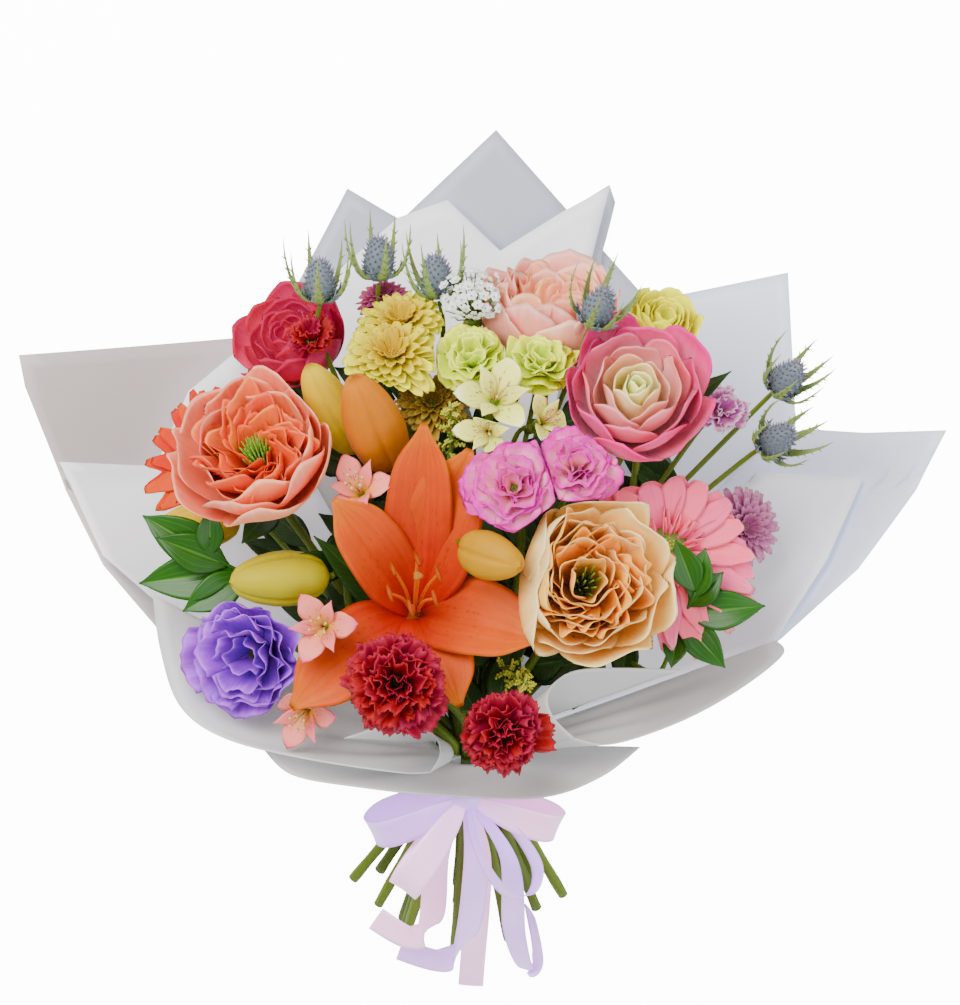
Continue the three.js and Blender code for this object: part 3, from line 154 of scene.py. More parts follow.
class Form:
    """Collects closed blades, sheets, tubes and turned forms into one mesh.

    A tone is a pair, chance and place from rim to heart. Its third number, the side, is added here.
    """

    def __init__(self):
        self.points = []
        self.faces = []
        self.across = []
        self.tones = []
        self.materials = []
        self.total = 0

    def add(self, points, faces, across, tone, material):
        self.points.append(points)
        self.across.append(across)
        self.total += len(points)
        self.reuse(faces, tone, material)

    def reuse(self, faces, tone, material):
        """Faces on the points that were added last."""
        start = self.total - len(self.points[-1])
        self.faces.append(faces + start)
        self.tones.append(np.broadcast_to(np.asarray(tone, dtype=float), (len(faces), 3)))
        self.materials.append(np.full(len(faces), material))

    def blade(self, grid, thickness, tone, material=0):
        """A petal or leaf whose two faces meet in a fine rim."""
        rows, columns = grid.shape[:2]
        normals = grid_normals(grid)
        inside = np.zeros((rows, columns, 1))
        inside[1:-1, 1:-1] = thickness / 2
        top = grid + normals * inside
        under = (grid - normals * inside)[1:-1, 1:-1]
        index = np.arange(rows * columns).reshape(rows, columns)
        hidden = np.arange((rows - 2) * (columns - 2)).reshape(rows - 2, columns - 2)
        back = index.copy()
        back[1:-1, 1:-1] = rows * columns + hidden
        front_faces = grid_faces(index)
        back_faces = grid_faces(back)[:, ::-1]
        points = np.concatenate([top.reshape(-1, 3), under.reshape(-1, 3)])
        share = grid_shares(rows, columns)
        across = np.concatenate([share.reshape(-1, 2), share[1:-1, 1:-1].reshape(-1, 2)])
        self.add(points, front_faces, across, (*tone, 0.0), material)
        self.reuse(back_faces, (*tone, 1.0), material)

    def sheet(self, grid, thickness, tone=PLAIN, material=0):
        """A sheet of even thickness with a wall round its rim."""
        rows, columns = grid.shape[:2]
        offset = grid_normals(grid) * thickness / 2
        points = np.concatenate([(grid + offset).reshape(-1, 3), (grid - offset).reshape(-1, 3)])
        index = np.arange(rows * columns).reshape(rows, columns)
        under = index + rows * columns
        rim = np.concatenate([index[0, :-1], index[:-1, -1], index[-1, :0:-1], index[:0:-1, 0]])
        beyond = np.roll(rim, -1)
        wall = np.column_stack([rim, beyond, beyond + rows * columns, rim + rows * columns])
        share = grid_shares(rows, columns).reshape(-1, 2)
        self.add(points, grid_faces(index), np.concatenate([share, share]), (*tone, 0.0), material)
        self.reuse(grid_faces(under)[:, ::-1], (*tone, 1.0), material)
        # The wall's second tone number, 1, gives it half of the painted shade colour in the soft creases
        # group.
        self.reuse(wall, (tone[0], 1.0, 0.5), material)

    def tube(self, line, radii, sides, tone, material=0):
        """A round bar through points, with a radius for each point and rounded ends."""
        line = vec(line)
        radii = np.interp(np.linspace(0, 1, len(line)), np.linspace(0, 1, len(radii)), radii)
        ahead = tangents(line)
        line = np.concatenate([line[:1] - ahead[:1] * CAP_STEP, line, line[-1:] + ahead[-1:] * CAP_STEP])
        ahead = np.concatenate([ahead[:1], ahead, ahead[-1:]])
        radii = np.concatenate([[radii[0] * CAP_SHARE], radii, [radii[-1] * CAP_SHARE]])
        spoke = np.cross(ahead[0], ASKEW)
        turn = np.linspace(0, TURN, sides, endpoint=False)
        rings = []
        for centre, forward, radius in zip(line, ahead, radii):
            spoke = unit(spoke - forward * spoke.dot(forward))
            side = np.cross(forward, spoke)
            rings.append(centre + radius * (np.cos(turn)[:, None] * spoke + np.sin(turn)[:, None] * side))
        self.rings(np.array(rings), tone, material)

    def rings(self, rings, tone, material):
        """A closed form through rings of points, each closed by its end ring."""
        rows, sides = rings.shape[:2]
        index = np.arange(rows * sides).reshape(rows, sides)
        wrapped = np.concatenate([index, index[:, :1]], axis=1)
        faces = grid_faces(wrapped)[:, ::-1]
        share = np.stack(np.meshgrid(np.linspace(0, 1, sides), np.linspace(0, 1, rows)), axis=-1)
        self.add(rings.reshape(-1, 3), faces, share.reshape(-1, 2), (*tone, 0.0), material)
        fan = np.arange(1, sides // 2)
        for ring, order in ((index[0], 1), (index[-1], -1)):
            near = [ring[fan - 1], ring[fan]]
            far = [ring[sides - 1 - fan], ring[(sides - fan) % sides]]
            self.reuse(np.column_stack(near + far)[:, ::order], (*tone, 0.0), material)

    def lathe(self, profile, at, face, sides, lobe=None, material=0, place=None):
        """A form turned round its own axis from [radius, height] pairs, with lobes round it if asked."""
        profile = vec(profile)
        turn = np.linspace(0, TURN, sides, endpoint=False)
        reach = np.ones(sides) if lobe is None else lobe(turn)
        radius = np.maximum(profile[:, :1], 0.01) * reach[None, :]
        height = np.repeat(profile[:, 1:], sides, 1)
        local = np.stack([radius * np.cos(turn), radius * np.sin(turn), height], axis=-1)
        rings = local @ basis_at(face).T + at
        if place is not None:
            rings = place(rings)
        self.rings(rings[:, ::-1], PLAIN, material)

    def mesh(self, name, materials):
        points = np.concatenate(self.points) * MM
        faces = np.concatenate(self.faces)
        across = np.concatenate(self.across)
        tones = np.concatenate(self.tones)
        mesh = bpy.data.meshes.new(name)
        mesh.vertices.add(len(points))
        mesh.vertices.foreach_set("co", points.ravel())
        mesh.loops.add(faces.size)
        mesh.loops.foreach_set("vertex_index", faces.ravel())
        mesh.polygons.add(len(faces))
        mesh.polygons.foreach_set("loop_start", np.arange(0, faces.size, CORNERS))
        mesh.polygons.foreach_set("use_smooth", np.ones(len(faces), dtype=bool))
        mesh.polygons.foreach_set("material_index", np.concatenate(self.materials).astype(np.int32))
        layer = mesh.uv_layers.new(name="petal")
        layer.uv.foreach_set("vector", across[faces.ravel()].ravel())
        tone = mesh.color_attributes.new(name="tone", type="FLOAT_COLOR", domain="CORNER")
        rgba = np.concatenate([np.repeat(tones, CORNERS, axis=0), np.ones((faces.size, 1))], axis=1)
        tone.data.foreach_set("color", rgba.ravel())
        for material in materials:
            mesh.materials.append(material)
        mesh.update(calc_edges=True)
        mesh.validate()
        return mesh

    def place_piece(self, name, node, slot, materials):
        """The finished piece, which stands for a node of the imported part."""
        piece = bpy.data.objects.new(name, self.mesh(name, materials))
        bpy.context.scene.collection.objects.link(piece)
        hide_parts(node)
        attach(piece, BODY)


def grid_normals(grid):
    lengthwise = np.gradient(grid, axis=0)
    crosswise = np.gradient(grid, axis=1)
    normals = np.cross(lengthwise, crosswise)
    size = np.linalg.norm(normals, axis=-1, keepdims=True)
    return normals / np.maximum(size, TINY)


def grid_faces(index):
    return np.stack(
        [index[:-1, :-1], index[1:, :-1], index[1:, 1:], index[:-1, 1:]], axis=-1
    ).reshape(-1, 4)


def grid_shares(rows, columns):
    across, up = np.meshgrid(np.linspace(0, 1, columns), np.linspace(0, 1, rows))
    return np.stack([across, up], axis=-1)


# -------------------- petals

NOTCH_WIDTH = 0.18
THINNEST = 0.03
RUFFLE_FLOOR = 0.25  # ruffle that is left along a petal's middle
CURL_FLOOR = 0.5  # curl that is left along a petal's middle
KEEL_WIDTH = 0.16
THINNEST_TIP = 0.02
BLADE_WAVES = (9, 2)  # of a long blade, along and across it


def petal_grid(
    rise, length, foot, half, widths, turn=0.0, wrap=1.0, roll=0.0, frill=0.0, waves=3.0, lean=0.0,
    rounding=0.12, notch=0.0, crimp=0.0, teeth=9.0, dome=0.0, steps=12, columns=10, phase=0.0,
):
    """A petal of a round flower that faces +Z, in units of the flower's radius."""
    u0 = np.linspace(0, 1, steps + 1)[:, None]
    v0 = np.linspace(-1, 1, columns + 1)[None, :]
    tooth = crimp * np.sin(teeth * math.pi * v0 + phase) * u0 ** 4
    cleft = notch * np.exp(-(v0 / NOTCH_WIDTH) ** 2) * u0 ** 6
    u = u0 * (1 - rounding * v0 ** 2 * u0 + tooth + cleft)
    v = v0 * np.maximum(smooth_values(widths, u0), THINNEST)
    start = math.radians(rise[0])
    sweep = math.radians(rise[1]) - start
    slope = start + sweep * u
    out = foot[0] + length * (np.sin(slope) - math.sin(start)) / sweep
    high = foot[1] + length * (math.cos(start) - np.cos(slope)) / sweep
    bend = wrap * (1 - np.cos(v * half / wrap))
    curl = roll * u ** 3 * (CURL_FLOOR + v ** 2)
    flare = np.minimum(np.abs(v) + RUFFLE_FLOOR, 1)
    ruffle = frill * u ** 2 * np.sin(waves * math.pi * v + turn + phase) * flare
    offset = bend - curl + ruffle + lean * v * u + dome * np.sin(math.pi * u) * (1 - v0 ** 2)
    x = out - offset * np.sin(slope)
    z = high + offset * np.cos(slope)
    y = wrap * np.sin(v * half / wrap) + 0 * x
    cosine = math.cos(turn)
    sine = math.sin(turn)
    return np.stack([x * cosine - y * sine, x * sine + y * cosine, z], axis=-1)


def spread_grid(line, side, normal, width, across, lift):
    """Rows of points across a line, lifted along its normal."""
    return (
        line[:, None, :]
        + side[:, None, :] * (across * width[:, None])[..., None]
        + normal[:, None, :] * lift[..., None]
    )


def tongue_grid(path, up, half, widths, steps, columns, cup, wave=0.0, keel=0.0):
    """A blade that follows three points of a curved midrib, from root to tip."""
    share = np.linspace(0, 1, steps + 1)
    rib = bezier(*[vec(p) for p in path], share)
    ahead = tangents(rib)
    side = square(np.cross(np.broadcast_to(up, ahead.shape), ahead))
    normal = np.cross(ahead, side)
    width = half * np.maximum(smooth_values(widths, share), THINNEST_TIP)
    v = np.linspace(-1, 1, columns + 1)[None, :]
    ripple = wave * np.sin(BLADE_WAVES[0] * share[:, None] + BLADE_WAVES[1] * v) * v
    lift = (cup * v ** 2 + ripple + keel * np.exp(-(v / KEEL_WIDTH) ** 2)) * width[:, None]
    return spread_grid(rib, side, normal, width, v, lift)


# -------------------- the flowers' room

LINING_TOP = 18.0  # the flowers stay above the paper they lie on
EASY = 0.75  # part of the room in which petals keep their shape
SIDELONG = 1e-6  # a ray that leans less than this toward a wall never meets it
FAR_OFF = 1e4  # reach of a ray that meets no wall


class Flower:
    """A bloom with its place, the way it faces, its radius, its heart's depth and its room's walls."""

    def __init__(self, name, at, face, radius, share, depth):
        self.name = name
        self.at = vec(at)
        self.face = unit(vec(face))
        self.radius = radius
        self.room = radius * share
        self.depth = depth

    def find_walls(self, flowers, rods):
        normals = [-UP]
        reaches = [self.at[2] - LINING_TOP]
        for other in flowers:
            if other is self:
                continue
            toward = other.at - self.at
            distance = np.linalg.norm(toward)
            shift = self.room ** 2 - other.room ** 2
            normals.append(toward / distance)
            reaches.append((distance ** 2 + shift) / (2 * distance) - GAP / 2)
        for start, end, radius in rods:
            share = np.clip((self.at - start).dot(end - start) / (end - start).dot(end - start), 0, 1)
            toward = mix(start, end, share) - self.at
            distance = np.linalg.norm(toward)
            normals.append(toward / distance)
            reaches.append(distance - radius - GAP)
        self.normals = np.array(normals)
        self.reaches = np.array(reaches)

    def into_room(self, points):
        spokes = points - self.at
        distance = np.linalg.norm(spokes, axis=-1)
        rays = spokes / np.maximum(distance, SIDELONG)[..., None]
        toward = rays @ self.normals.T
        limits = np.where(toward > SIDELONG, self.reaches / np.maximum(toward, SIDELONG), FAR_OFF)
        limit = limits.min(axis=-1)
        part = distance / limit
        pressed = EASY + (1 - EASY) * np.tanh((part - EASY) / (1 - EASY))
        return self.at + rays * (np.where(part <= EASY, part, pressed) * limit)[..., None]

    def place(self, points):
        """Points in units of the radius, set in the bouquet and pressed into the room."""
        basis = basis_at(self.face, len(self.name))
        return self.into_room(points * self.radius @ basis.T + self.at)

    def seat(self):
        """Where the stem's cup meets the heart."""
        return self.into_room(self.at - self.face * self.depth * self.radius)

    def set_bloom(self, form, slot, materials):
        form.place_piece("bloom_" + self.name, self.name, slot, materials)


ROSES = [
    ("rose_coral", (-112, 52, 152), (-0.18, 0.42, 0.89), 40),
    ("rose_peach", (51, -11, 172), (0.08, 0.12, 0.99), 42),
    ("rose_bicolor", (76, 81, 150), (0.05, 0.42, 0.9), 37),
    ("rose_blush", (33, 122, 110), (0.05, 0.9, 0.43), 35),
    ("rose_magenta", (-94, 109, 108), (-0.45, 0.55, 0.7), 28),
    ("rose_yellow", (90, 119, 118), (0.3, 0.6, 0.74), 17),
]
CARNATIONS = [
    ("carnation_lime_left", (-5, 102, 140), (-0.1, 0.6, 0.79), 20),
    ("carnation_lime_right", (29, 100, 138), (0.1, 0.6, 0.79), 21),
    ("carnation_magenta_left", (15, 37, 175), (-0.1, 0.25, 0.96), 24),
    ("carnation_magenta_right", (47, 46, 172), (0.1, 0.3, 0.95), 21),
    ("carnation_red_left", (-43, -61, 182), (-0.1, -0.1, 0.99), 25),
    ("carnation_red_right", (11, -87, 165), (0.05, -0.35, 0.94), 21),
    ("carnation_crimson", (-86, 113, 138), (-0.1, 0.7, 0.7), 13),
    ("carnation_mauve", (120, 76, 128), (0.4, 0.4, 0.8), 13),
]
MUMS = [
    ("mum_yellow_back", (-40, 116, 128), (-0.1, 0.75, 0.65), 27),
    ("mum_yellow_front", (-44, 100, 142), (-0.1, 0.6, 0.79), 31),
    ("mum_bronze", (-25, 77, 128), (0, 0.5, 0.87), 20),
    ("mum_plum", (-49, 130, 108), (-0.1, 0.8, 0.6), 15),
    ("mum_mauve", (131, 16, 90), (0.5, 0.1, 0.86), 22),
]
GERBERAS = [
    ("gerbera_pink", (91, 3, 134), (0.14, 0.14, 0.98), 54),
    ("gerbera_orange", (-131, 47, 100), (-0.45, 0.25, 0.86), 46),
]
LISIANTHUS = [("lisianthus_purple", (-117, -48, 128), (-0.4, -0.15, 0.9), 30)]
GYPSOPHILA = [("gypsophila", (-5, 127, 128), (0, 0.6, 0.8), 20)]
ALSTROEMERIAS = [
    ("alstroemeria_white_top", (7, 82, 160), (0.1, 0.35, 0.93), 23),
    ("alstroemeria_white_low", (2, 64, 160), (-0.15, 0.1, 0.98), 17),
    ("alstroemeria_white_side", (32, 70, 150), (0.5, 0.3, 0.8), 15),
    ("alstroemeria_pink_top", (-62, 36, 158), (-0.2, 0.4, 0.9), 20),
    ("alstroemeria_pink_mid", (-80, -33, 160), (-0.2, 0, 0.98), 20),
    ("alstroemeria_pink_low", (-90, -78, 135), (-0.3, -0.4, 0.87), 19),
]
BUDS = [
    ("bud_yellow", (-87, 97, 155), (-62, 54, 118), 13),
    ("bud_orange", (-64, 91, 174), (-45, 46, 128), 16),
    ("bud_amber", (19, -3, 190), (-10, 7, 165), 13),
    ("bud_lime", (-126, -11, 150), (-76, -8, 136), 15),
    ("bud_gold", (-164, 14, 112), (-121, 20, 105), 13),
]
LILY_AT = vec((-34, -18, 150))
LILY_FACE = unit(vec((0, 0.3, 0.95)))
LILY_TIPS = [(-29, 68, 172), (-6, 55, 168), (-74, 30, 172), (29, -40, 164), (-11, -73, 160), (-95, -74, 150)]
THISTLES = [
    ("eryngium_1", (-81, 130, 140), (0, 0.9, 0.44)),
    ("eryngium_2", (-52, 141, 118), (0, 0.95, 0.3)),
    ("eryngium_3", (-22, 132, 120), (-0.1, 0.95, 0.3)),
    ("eryngium_4", (55, 119, 148), (0.3, 0.7, 0.65)),
    ("eryngium_5", (148, 86, 112), (0.5, 0.5, 0.7)),
    ("eryngium_6", (143, 57, 120), (0.5, 0.3, 0.8)),
]
RUSCUS = [
    ("ruscus_right", (98, -34, 132), (106, -16, 144),
     [(94, -54, 142), (121, -54, 140), (141, -23, 138), (120, -6, 144), (111, 6, 148), (96, 10, 152)]),
    ("ruscus_left", (-118, -8, 122), (-136, 2, 126),
     [(-150, -26, 124), (-172, -12, 118), (-163, 11, 128), (-170, 22, 124), (-136, 26, 130)]),
]
# Share of the radius that pushes neighbours away, and the depth of the heart's lowest point.
KINDS = {
    "rose": (ROSES, 1.0, 0.82),
    "carnation": (CARNATIONS, 1.0, 0.85),
    "mum": (MUMS, 0.7, 0.34),
    "gerbera": (GERBERAS, 0.42, 0.2),
    "lisianthus": (LISIANTHUS, 1.0, 0.75),
    "gypsophila": (GYPSOPHILA, 0.6, 0.72),
    "alstroemeria": (ALSTROEMERIAS, 0.8, 0.75),
}
FLOWERS = {
    kind: [Flower(*place, share, depth) for place in places]
    for kind, (places, share, depth) in KINDS.items()
}
ALL_FLOWERS = [flower for flowers in FLOWERS.values() for flower in flowers]
RODS = [(vec(base), vec(tip), radius) for _, tip, base, radius in BUDS]
for one in ALL_FLOWERS:
    one.find_walls(ALL_FLOWERS, RODS)


# -------------------- materials

MIX_INPUTS = (0, 6, 7)  # share and the two colours, among a Mix node's inputs
MIX_OUTPUT = 2


class Graph:
    """Short ways to add shader nodes to a tree."""

    def __init__(self, tree):
        self.tree = tree

    def node(self, kind, **settings):
        node = self.tree.nodes.new(kind)
        for name, value in settings.items():
            setattr(node, name, value)
        return node

    def feed(self, socket, value):
        if isinstance(value, bpy.types.NodeSocket):
            self.tree.links.new(value, socket)
        else:
            socket.default_value = value

    def math(self, operation, *values, clamp=False):
        node = self.node("ShaderNodeMath", operation=operation, use_clamp=clamp)
        for socket, value in zip(node.inputs, values):
            self.feed(socket, value)
        return node.outputs[0]

    def step(self, value, low, high):
        node = self.node("ShaderNodeMapRange", interpolation_type="SMOOTHSTEP")
        for socket, number in zip(node.inputs, (value, low, high)):
            self.feed(socket, number)
        return node.outputs[0]

    def product(self, first, second):
        return self.math("MULTIPLY", first, second)

    def rest(self, value):
        """What a value leaves of 1."""
        return self.math("SUBTRACT", 1.0, value)

    def swing(self, value, amount, middle):
        """A number that swings round a middle as the value goes from 0 to 1."""
        return self.math("MULTIPLY_ADD", self.math("SUBTRACT", value, 0.5), amount, middle)

    def blend(self, share, first, second):
        node = self.node("ShaderNodeMix", data_type="RGBA")
        for place, value in zip(MIX_INPUTS, (share, first, second)):
            self.feed(node.inputs[place], value)
        return node.outputs[MIX_OUTPUT]

    def vector(self, x, y, z):
        node = self.node("ShaderNodeCombineXYZ")
        for socket, value in zip(node.inputs, (x, y, z)):
            self.feed(socket, value)
        return node.outputs[0]

    def from_petal(self, across, along, shift):
        """A place that runs across and along each petal, and starts elsewhere on each."""
        u, v = self.blade_place()
        chance = self.tone()[0]
        return self.vector(self.product(u, across), self.product(v, along), self.product(chance, shift))

    def noise(self, vector, scale, detail=3.0, roughness=0.55):
        node = self.node("ShaderNodeTexNoise")
        self.feed(node.inputs["Vector"], vector)
        node.inputs["Scale"].default_value = scale
        node.inputs["Detail"].default_value = detail
        node.inputs["Roughness"].default_value = roughness
        return node.outputs["Fac"]

    def blade_place(self):
        """Place across and along a blade, from its UV map."""
        uv = self.node("ShaderNodeUVMap", uv_map="petal")
        split = self.node("ShaderNodeSeparateXYZ")
        self.feed(split.inputs[0], uv.outputs[0])
        return split.outputs[0], split.outputs[1]

    def tone(self):
        """Chance, ring and side of a blade, from its colour attribute."""
        attribute = self.node("ShaderNodeVertexColor", layer_name="tone")
        split = self.node("ShaderNodeSeparateColor")
        self.feed(split.inputs[0], attribute.outputs[0])
        return split.outputs[0], split.outputs[1], split.outputs[2]

    def shade(self, color, value, hue=0.5):
        node = self.node("ShaderNodeHueSaturation")
        self.feed(node.inputs["Hue"], hue)
        self.feed(node.inputs["Value"], value)
        self.feed(node.inputs["Color"], color)
        return node.outputs[0]


def new_group(name, inputs, outputs):
    tree = bpy.data.node_groups.new(name, "ShaderNodeTree")
    for label, kind, default in inputs:
        socket = tree.interface.new_socket(label, in_out="INPUT", socket_type=kind)
        socket.default_value = default
    for label, kind in outputs:
        tree.interface.new_socket(label, in_out="OUTPUT", socket_type=kind)
    graph = Graph(tree)
    return tree, graph, graph.node("NodeGroupInput").outputs, graph.node("NodeGroupOutput").inputs


COLOUR = "NodeSocketColor"
NUMBER = "NodeSocketFloat"
WHITE = (1, 1, 1, 1)
STREAKS = (16.0, 1.4, 37.0)  # noise cells across and along a petal, and the shift by chance
CLOUDS = 90.0  # scale of the soft blotches on petals
CLOUD_DEPTH = 0.16
WANDER = 0.22  # how far the borders between a petal's colours wander
FLANK_BEND = 0.35  # how soon the rim's colour runs down a petal's sides
HEART_FALL = 1.7  # how fast the heart's colour fades outward
HUE_SWING = 0.018
PETAL_ROUGHNESS = (0.2, 0.42)  # swing and least
DASH_SHIFT = 9.0
DASH_EDGE = (0.16, 0.3)
DASH_START = (0.18, 0.3)  # up a petal, where the dashes fade in
DASH_END = (0.55, 0.8)  # up a petal, where they fade out
DASH_SIDES = (0.2, 0.4)  # off the midrib, where they fade out
RIB_EDGE = (0.015, 0.05)
VEIN_SLANT = 6.0
VEIN_EDGE = (0.6, 1.0)
VEIN_SHARE = 0.22
RIB_SHARE = 0.75
LEAF_CLOUDS = 70.0
LEAF_SHADE = (0.35, 0.65)
CREASE_GRAIN = 60.0
CREASE_EDGE = (0.3, 0.75)
CREASE_ROUGHNESS = (0.25, 0.32)


def petal_tones():
    """Colour of a petal from root to rim, with veins and a small change from petal to petal."""
    tree, graph, given, result = new_group(
        "petal tones",
        [("Root", COLOUR, WHITE), ("Middle", COLOUR, WHITE), ("Rim", COLOUR, WHITE), ("Heart", COLOUR, WHITE),
         ("Root reach", NUMBER, 0.4), ("Rim start", NUMBER, 0.8), ("Rim sides", NUMBER, 0.9),
         ("Heart share", NUMBER, 0.0), ("Veins", NUMBER, 0.2), ("Chance", NUMBER, 0.16)],
        [("Color", COLOUR), ("Height", NUMBER), ("Roughness", NUMBER)],
    )
    across, up = graph.blade_place()
    chance, ring, _ = graph.tone()
    sideways = graph.math("ABSOLUTE", graph.math("MULTIPLY_ADD", across, 2.0, -1.0))
    streak = graph.noise(graph.from_petal(*STREAKS), 1.0)
    cloud = graph.noise(graph.node("ShaderNodeTexCoord").outputs["Object"], CLOUDS)
    wander = graph.math("MULTIPLY_ADD", graph.math("ADD", streak, cloud), WANDER, -WANDER)
    edge = graph.math("ADD", up, wander)
    flank = graph.math("ADD", graph.product(sideways, graph.math("POWER", up, FLANK_BEND)), wander)
    top = graph.step(edge, given["Rim start"], 1.0)
    rim = graph.math("MAXIMUM", top, graph.step(flank, given["Rim sides"], 1.0))
    color = graph.blend(graph.step(edge, 0.0, given["Root reach"]), given["Root"], given["Middle"])
    color = graph.blend(rim, color, given["Rim"])
    inner = graph.math("MULTIPLY", graph.math("POWER", ring, HEART_FALL), given["Heart share"], clamp=True)
    color = graph.blend(inner, color, given["Heart"])
    veined = graph.swing(streak, given["Veins"], 1.0)
    varied = graph.swing(chance, given["Chance"], veined)
    varied = graph.swing(cloud, CLOUD_DEPTH, varied)
    hue = graph.swing(chance, HUE_SWING, 0.5)
    graph.feed(result["Color"], graph.shade(color, varied, hue))
    graph.feed(result["Height"], streak)
    graph.feed(result["Roughness"], graph.math("MULTIPLY_ADD", cloud, *PETAL_ROUGHNESS))
    return tree


def petal_marks():
    """Short dark dashes on the lower middle of a petal."""
    tree, graph, given, result = new_group(
        "petal marks",
        [("Color", COLOUR, WHITE), ("Mark", COLOUR, WHITE), ("Amount", NUMBER, 0.5), ("Across", NUMBER, 12.0),
         ("Along", NUMBER, 5.0)],
        [("Color", COLOUR)],
    )
    across, up = graph.blade_place()
    spots = graph.node("ShaderNodeTexVoronoi", feature="F1")
    graph.feed(spots.inputs["Vector"], graph.from_petal(given["Across"], given["Along"], DASH_SHIFT))
    spots.inputs["Scale"].default_value = 1.0
    dash = graph.rest(graph.step(spots.outputs["Distance"], *DASH_EDGE))
    low = graph.product(graph.step(up, *DASH_START), graph.rest(graph.step(up, *DASH_END)))
    sideways = graph.math("ABSOLUTE", graph.math("SUBTRACT", across, 0.5))
    middle = graph.rest(graph.step(sideways, *DASH_SIDES))
    mask = graph.product(graph.product(dash, graph.product(low, middle)), given["Amount"])
    graph.feed(result["Color"], graph.blend(mask, given["Color"], given["Mark"]))
    return tree


def leaf_tones():
    """A leaf with a pale midrib and fine side veins."""
    tree, graph, given, result = new_group(
        "leaf tones",
        [("Blade", COLOUR, WHITE), ("Rib", COLOUR, WHITE), ("Ribs", NUMBER, 16.0)],
        [("Color", COLOUR), ("Height", NUMBER)],
    )
    across, up = graph.blade_place()
    chance = graph.tone()[0]
    sideways = graph.math("ABSOLUTE", graph.math("SUBTRACT", across, 0.5))
    rib = graph.rest(graph.step(sideways, *RIB_EDGE))
    slant = graph.math("SUBTRACT", graph.product(up, given["Ribs"]), graph.product(sideways, VEIN_SLANT))
    fine = graph.step(graph.math("SINE", graph.product(slant, TURN)), *VEIN_EDGE)
    cloud = graph.noise(graph.node("ShaderNodeTexCoord").outputs["Object"], LEAF_CLOUDS)
    color = graph.blend(graph.product(fine, VEIN_SHARE), given["Blade"], given["Rib"])
    color = graph.blend(graph.product(rib, RIB_SHARE), color, given["Rib"])
    value = graph.math("MULTIPLY_ADD", graph.math("ADD", cloud, chance), *LEAF_SHADE)
    graph.feed(result["Color"], graph.shade(color, value))
    graph.feed(result["Height"], graph.math("SUBTRACT", graph.math("MULTIPLY", fine, -0.3), rib))
    return tree


def soft_creases():
    """Slow creases and a fine tooth, for paper and ribbon, with painted shade: the Shadow colour is blended
    into the hollows of the slow creases, and half of it onto the rim walls.
    """
    tree, graph, given, result = new_group(
        "soft creases",
        [("Color", COLOUR, WHITE), ("Shadow", COLOUR, WHITE), ("Scale", NUMBER, 14.0),
         ("Amount", NUMBER, 0.3)],
        [("Color", COLOUR), ("Height", NUMBER), ("Roughness", NUMBER)],
    )
    place = graph.node("ShaderNodeTexCoord").outputs["Object"]
    stretched = graph.node("ShaderNodeVectorMath", operation="SCALE")
    graph.feed(stretched.inputs[0], place)
    graph.feed(stretched.inputs["Scale"], given["Scale"])
    slow = graph.noise(stretched.outputs[0], 1.0, 4.0, 0.5)
    fine = graph.noise(stretched.outputs[0], CREASE_GRAIN, 2.0, 0.7)
    ridge = graph.math("ABSOLUTE", graph.math("SUBTRACT", slow, 0.5))
    # painted shade: the rim walls, whose second tone number is 1, take half of the Shadow colour
    wall = graph.tone()[1]
    edge = graph.product(graph.step(wall, 0.5, 1.0), 0.5)
    # painted shade: the Shadow colour in the hollows of the slow creases
    crease_shade = graph.product(graph.step(slow, *CREASE_EDGE), given["Amount"])
    share = graph.math("ADD", crease_shade, edge, clamp=True)
    graph.feed(result["Color"], graph.blend(share, given["Color"], given["Shadow"]))
    graph.feed(result["Height"], graph.math("MULTIPLY_ADD", fine, 0.05, ridge))
    graph.feed(result["Roughness"], graph.math("MULTIPLY_ADD", slow, *CREASE_ROUGHNESS))
    return tree


def group_of(maker):
    """A shader group, made the first time that it is asked for."""
    name = maker.__name__.replace("_", " ")
    return bpy.data.node_groups.get(name) or maker()


def new_material(name, maker, values, bump=0.25, depth=0.0004, **sockets):
    """A material whose colour, height and roughness come from a shader group."""
    material = bpy.data.materials.new(name)
    material.use_nodes = True
    graph = Graph(material.node_tree)
    surface = material.node_tree.nodes["Principled BSDF"]
    effect = graph.node("ShaderNodeGroup", node_tree=group_of(maker))
    for label, value in values.items():
        effect.inputs[label].default_value = (*value, 1) if isinstance(value, tuple) else value
    graph.feed(surface.inputs["Base Color"], effect.outputs["Color"])
    if "Roughness" in effect.outputs:
        graph.feed(surface.inputs["Roughness"], effect.outputs["Roughness"])
    relief = graph.node("ShaderNodeBump")
    relief.inputs["Strength"].default_value = bump
    relief.inputs["Distance"].default_value = depth
    graph.feed(relief.inputs["Height"], effect.outputs["Height"])
    graph.feed(surface.inputs["Normal"], relief.outputs[0])
    for label, value in sockets.items():
        surface.inputs[label.replace("_", " ").title().replace("Ior", "IOR")].default_value = value
    return material


HEART_SHARE = 1.2


def petal_material(name, root, middle, rim, heart=None, marks=None, **values):
    """A soft petal, with a colour for its heart and dark marks if they are given."""
    values = {
        "Root": root, "Middle": middle, "Rim": rim, "Heart": heart or middle,
        "Heart share": HEART_SHARE if heart else 0.0,
        **{label.replace("_", " ").capitalize(): value for label, value in values.items()},
    }
    material = new_material(name, petal_tones, values, specular_ior_level=0.15, subsurface_weight=0.12,
                            subsurface_scale=0.004)
    if marks:
        graph = Graph(material.node_tree)
        surface = material.node_tree.nodes["Principled BSDF"]
        plain = surface.inputs["Base Color"].links[0].from_socket
        dashes = graph.node("ShaderNodeGroup", node_tree=group_of(petal_marks))
        color, *amounts = marks
        for label, value in zip(("Mark", "Amount", "Across", "Along"), ((*color, 1), *amounts)):
            dashes.inputs[label].default_value = value
        graph.feed(dashes.inputs["Color"], plain)
        graph.feed(surface.inputs["Base Color"], dashes.outputs["Color"])
    return material


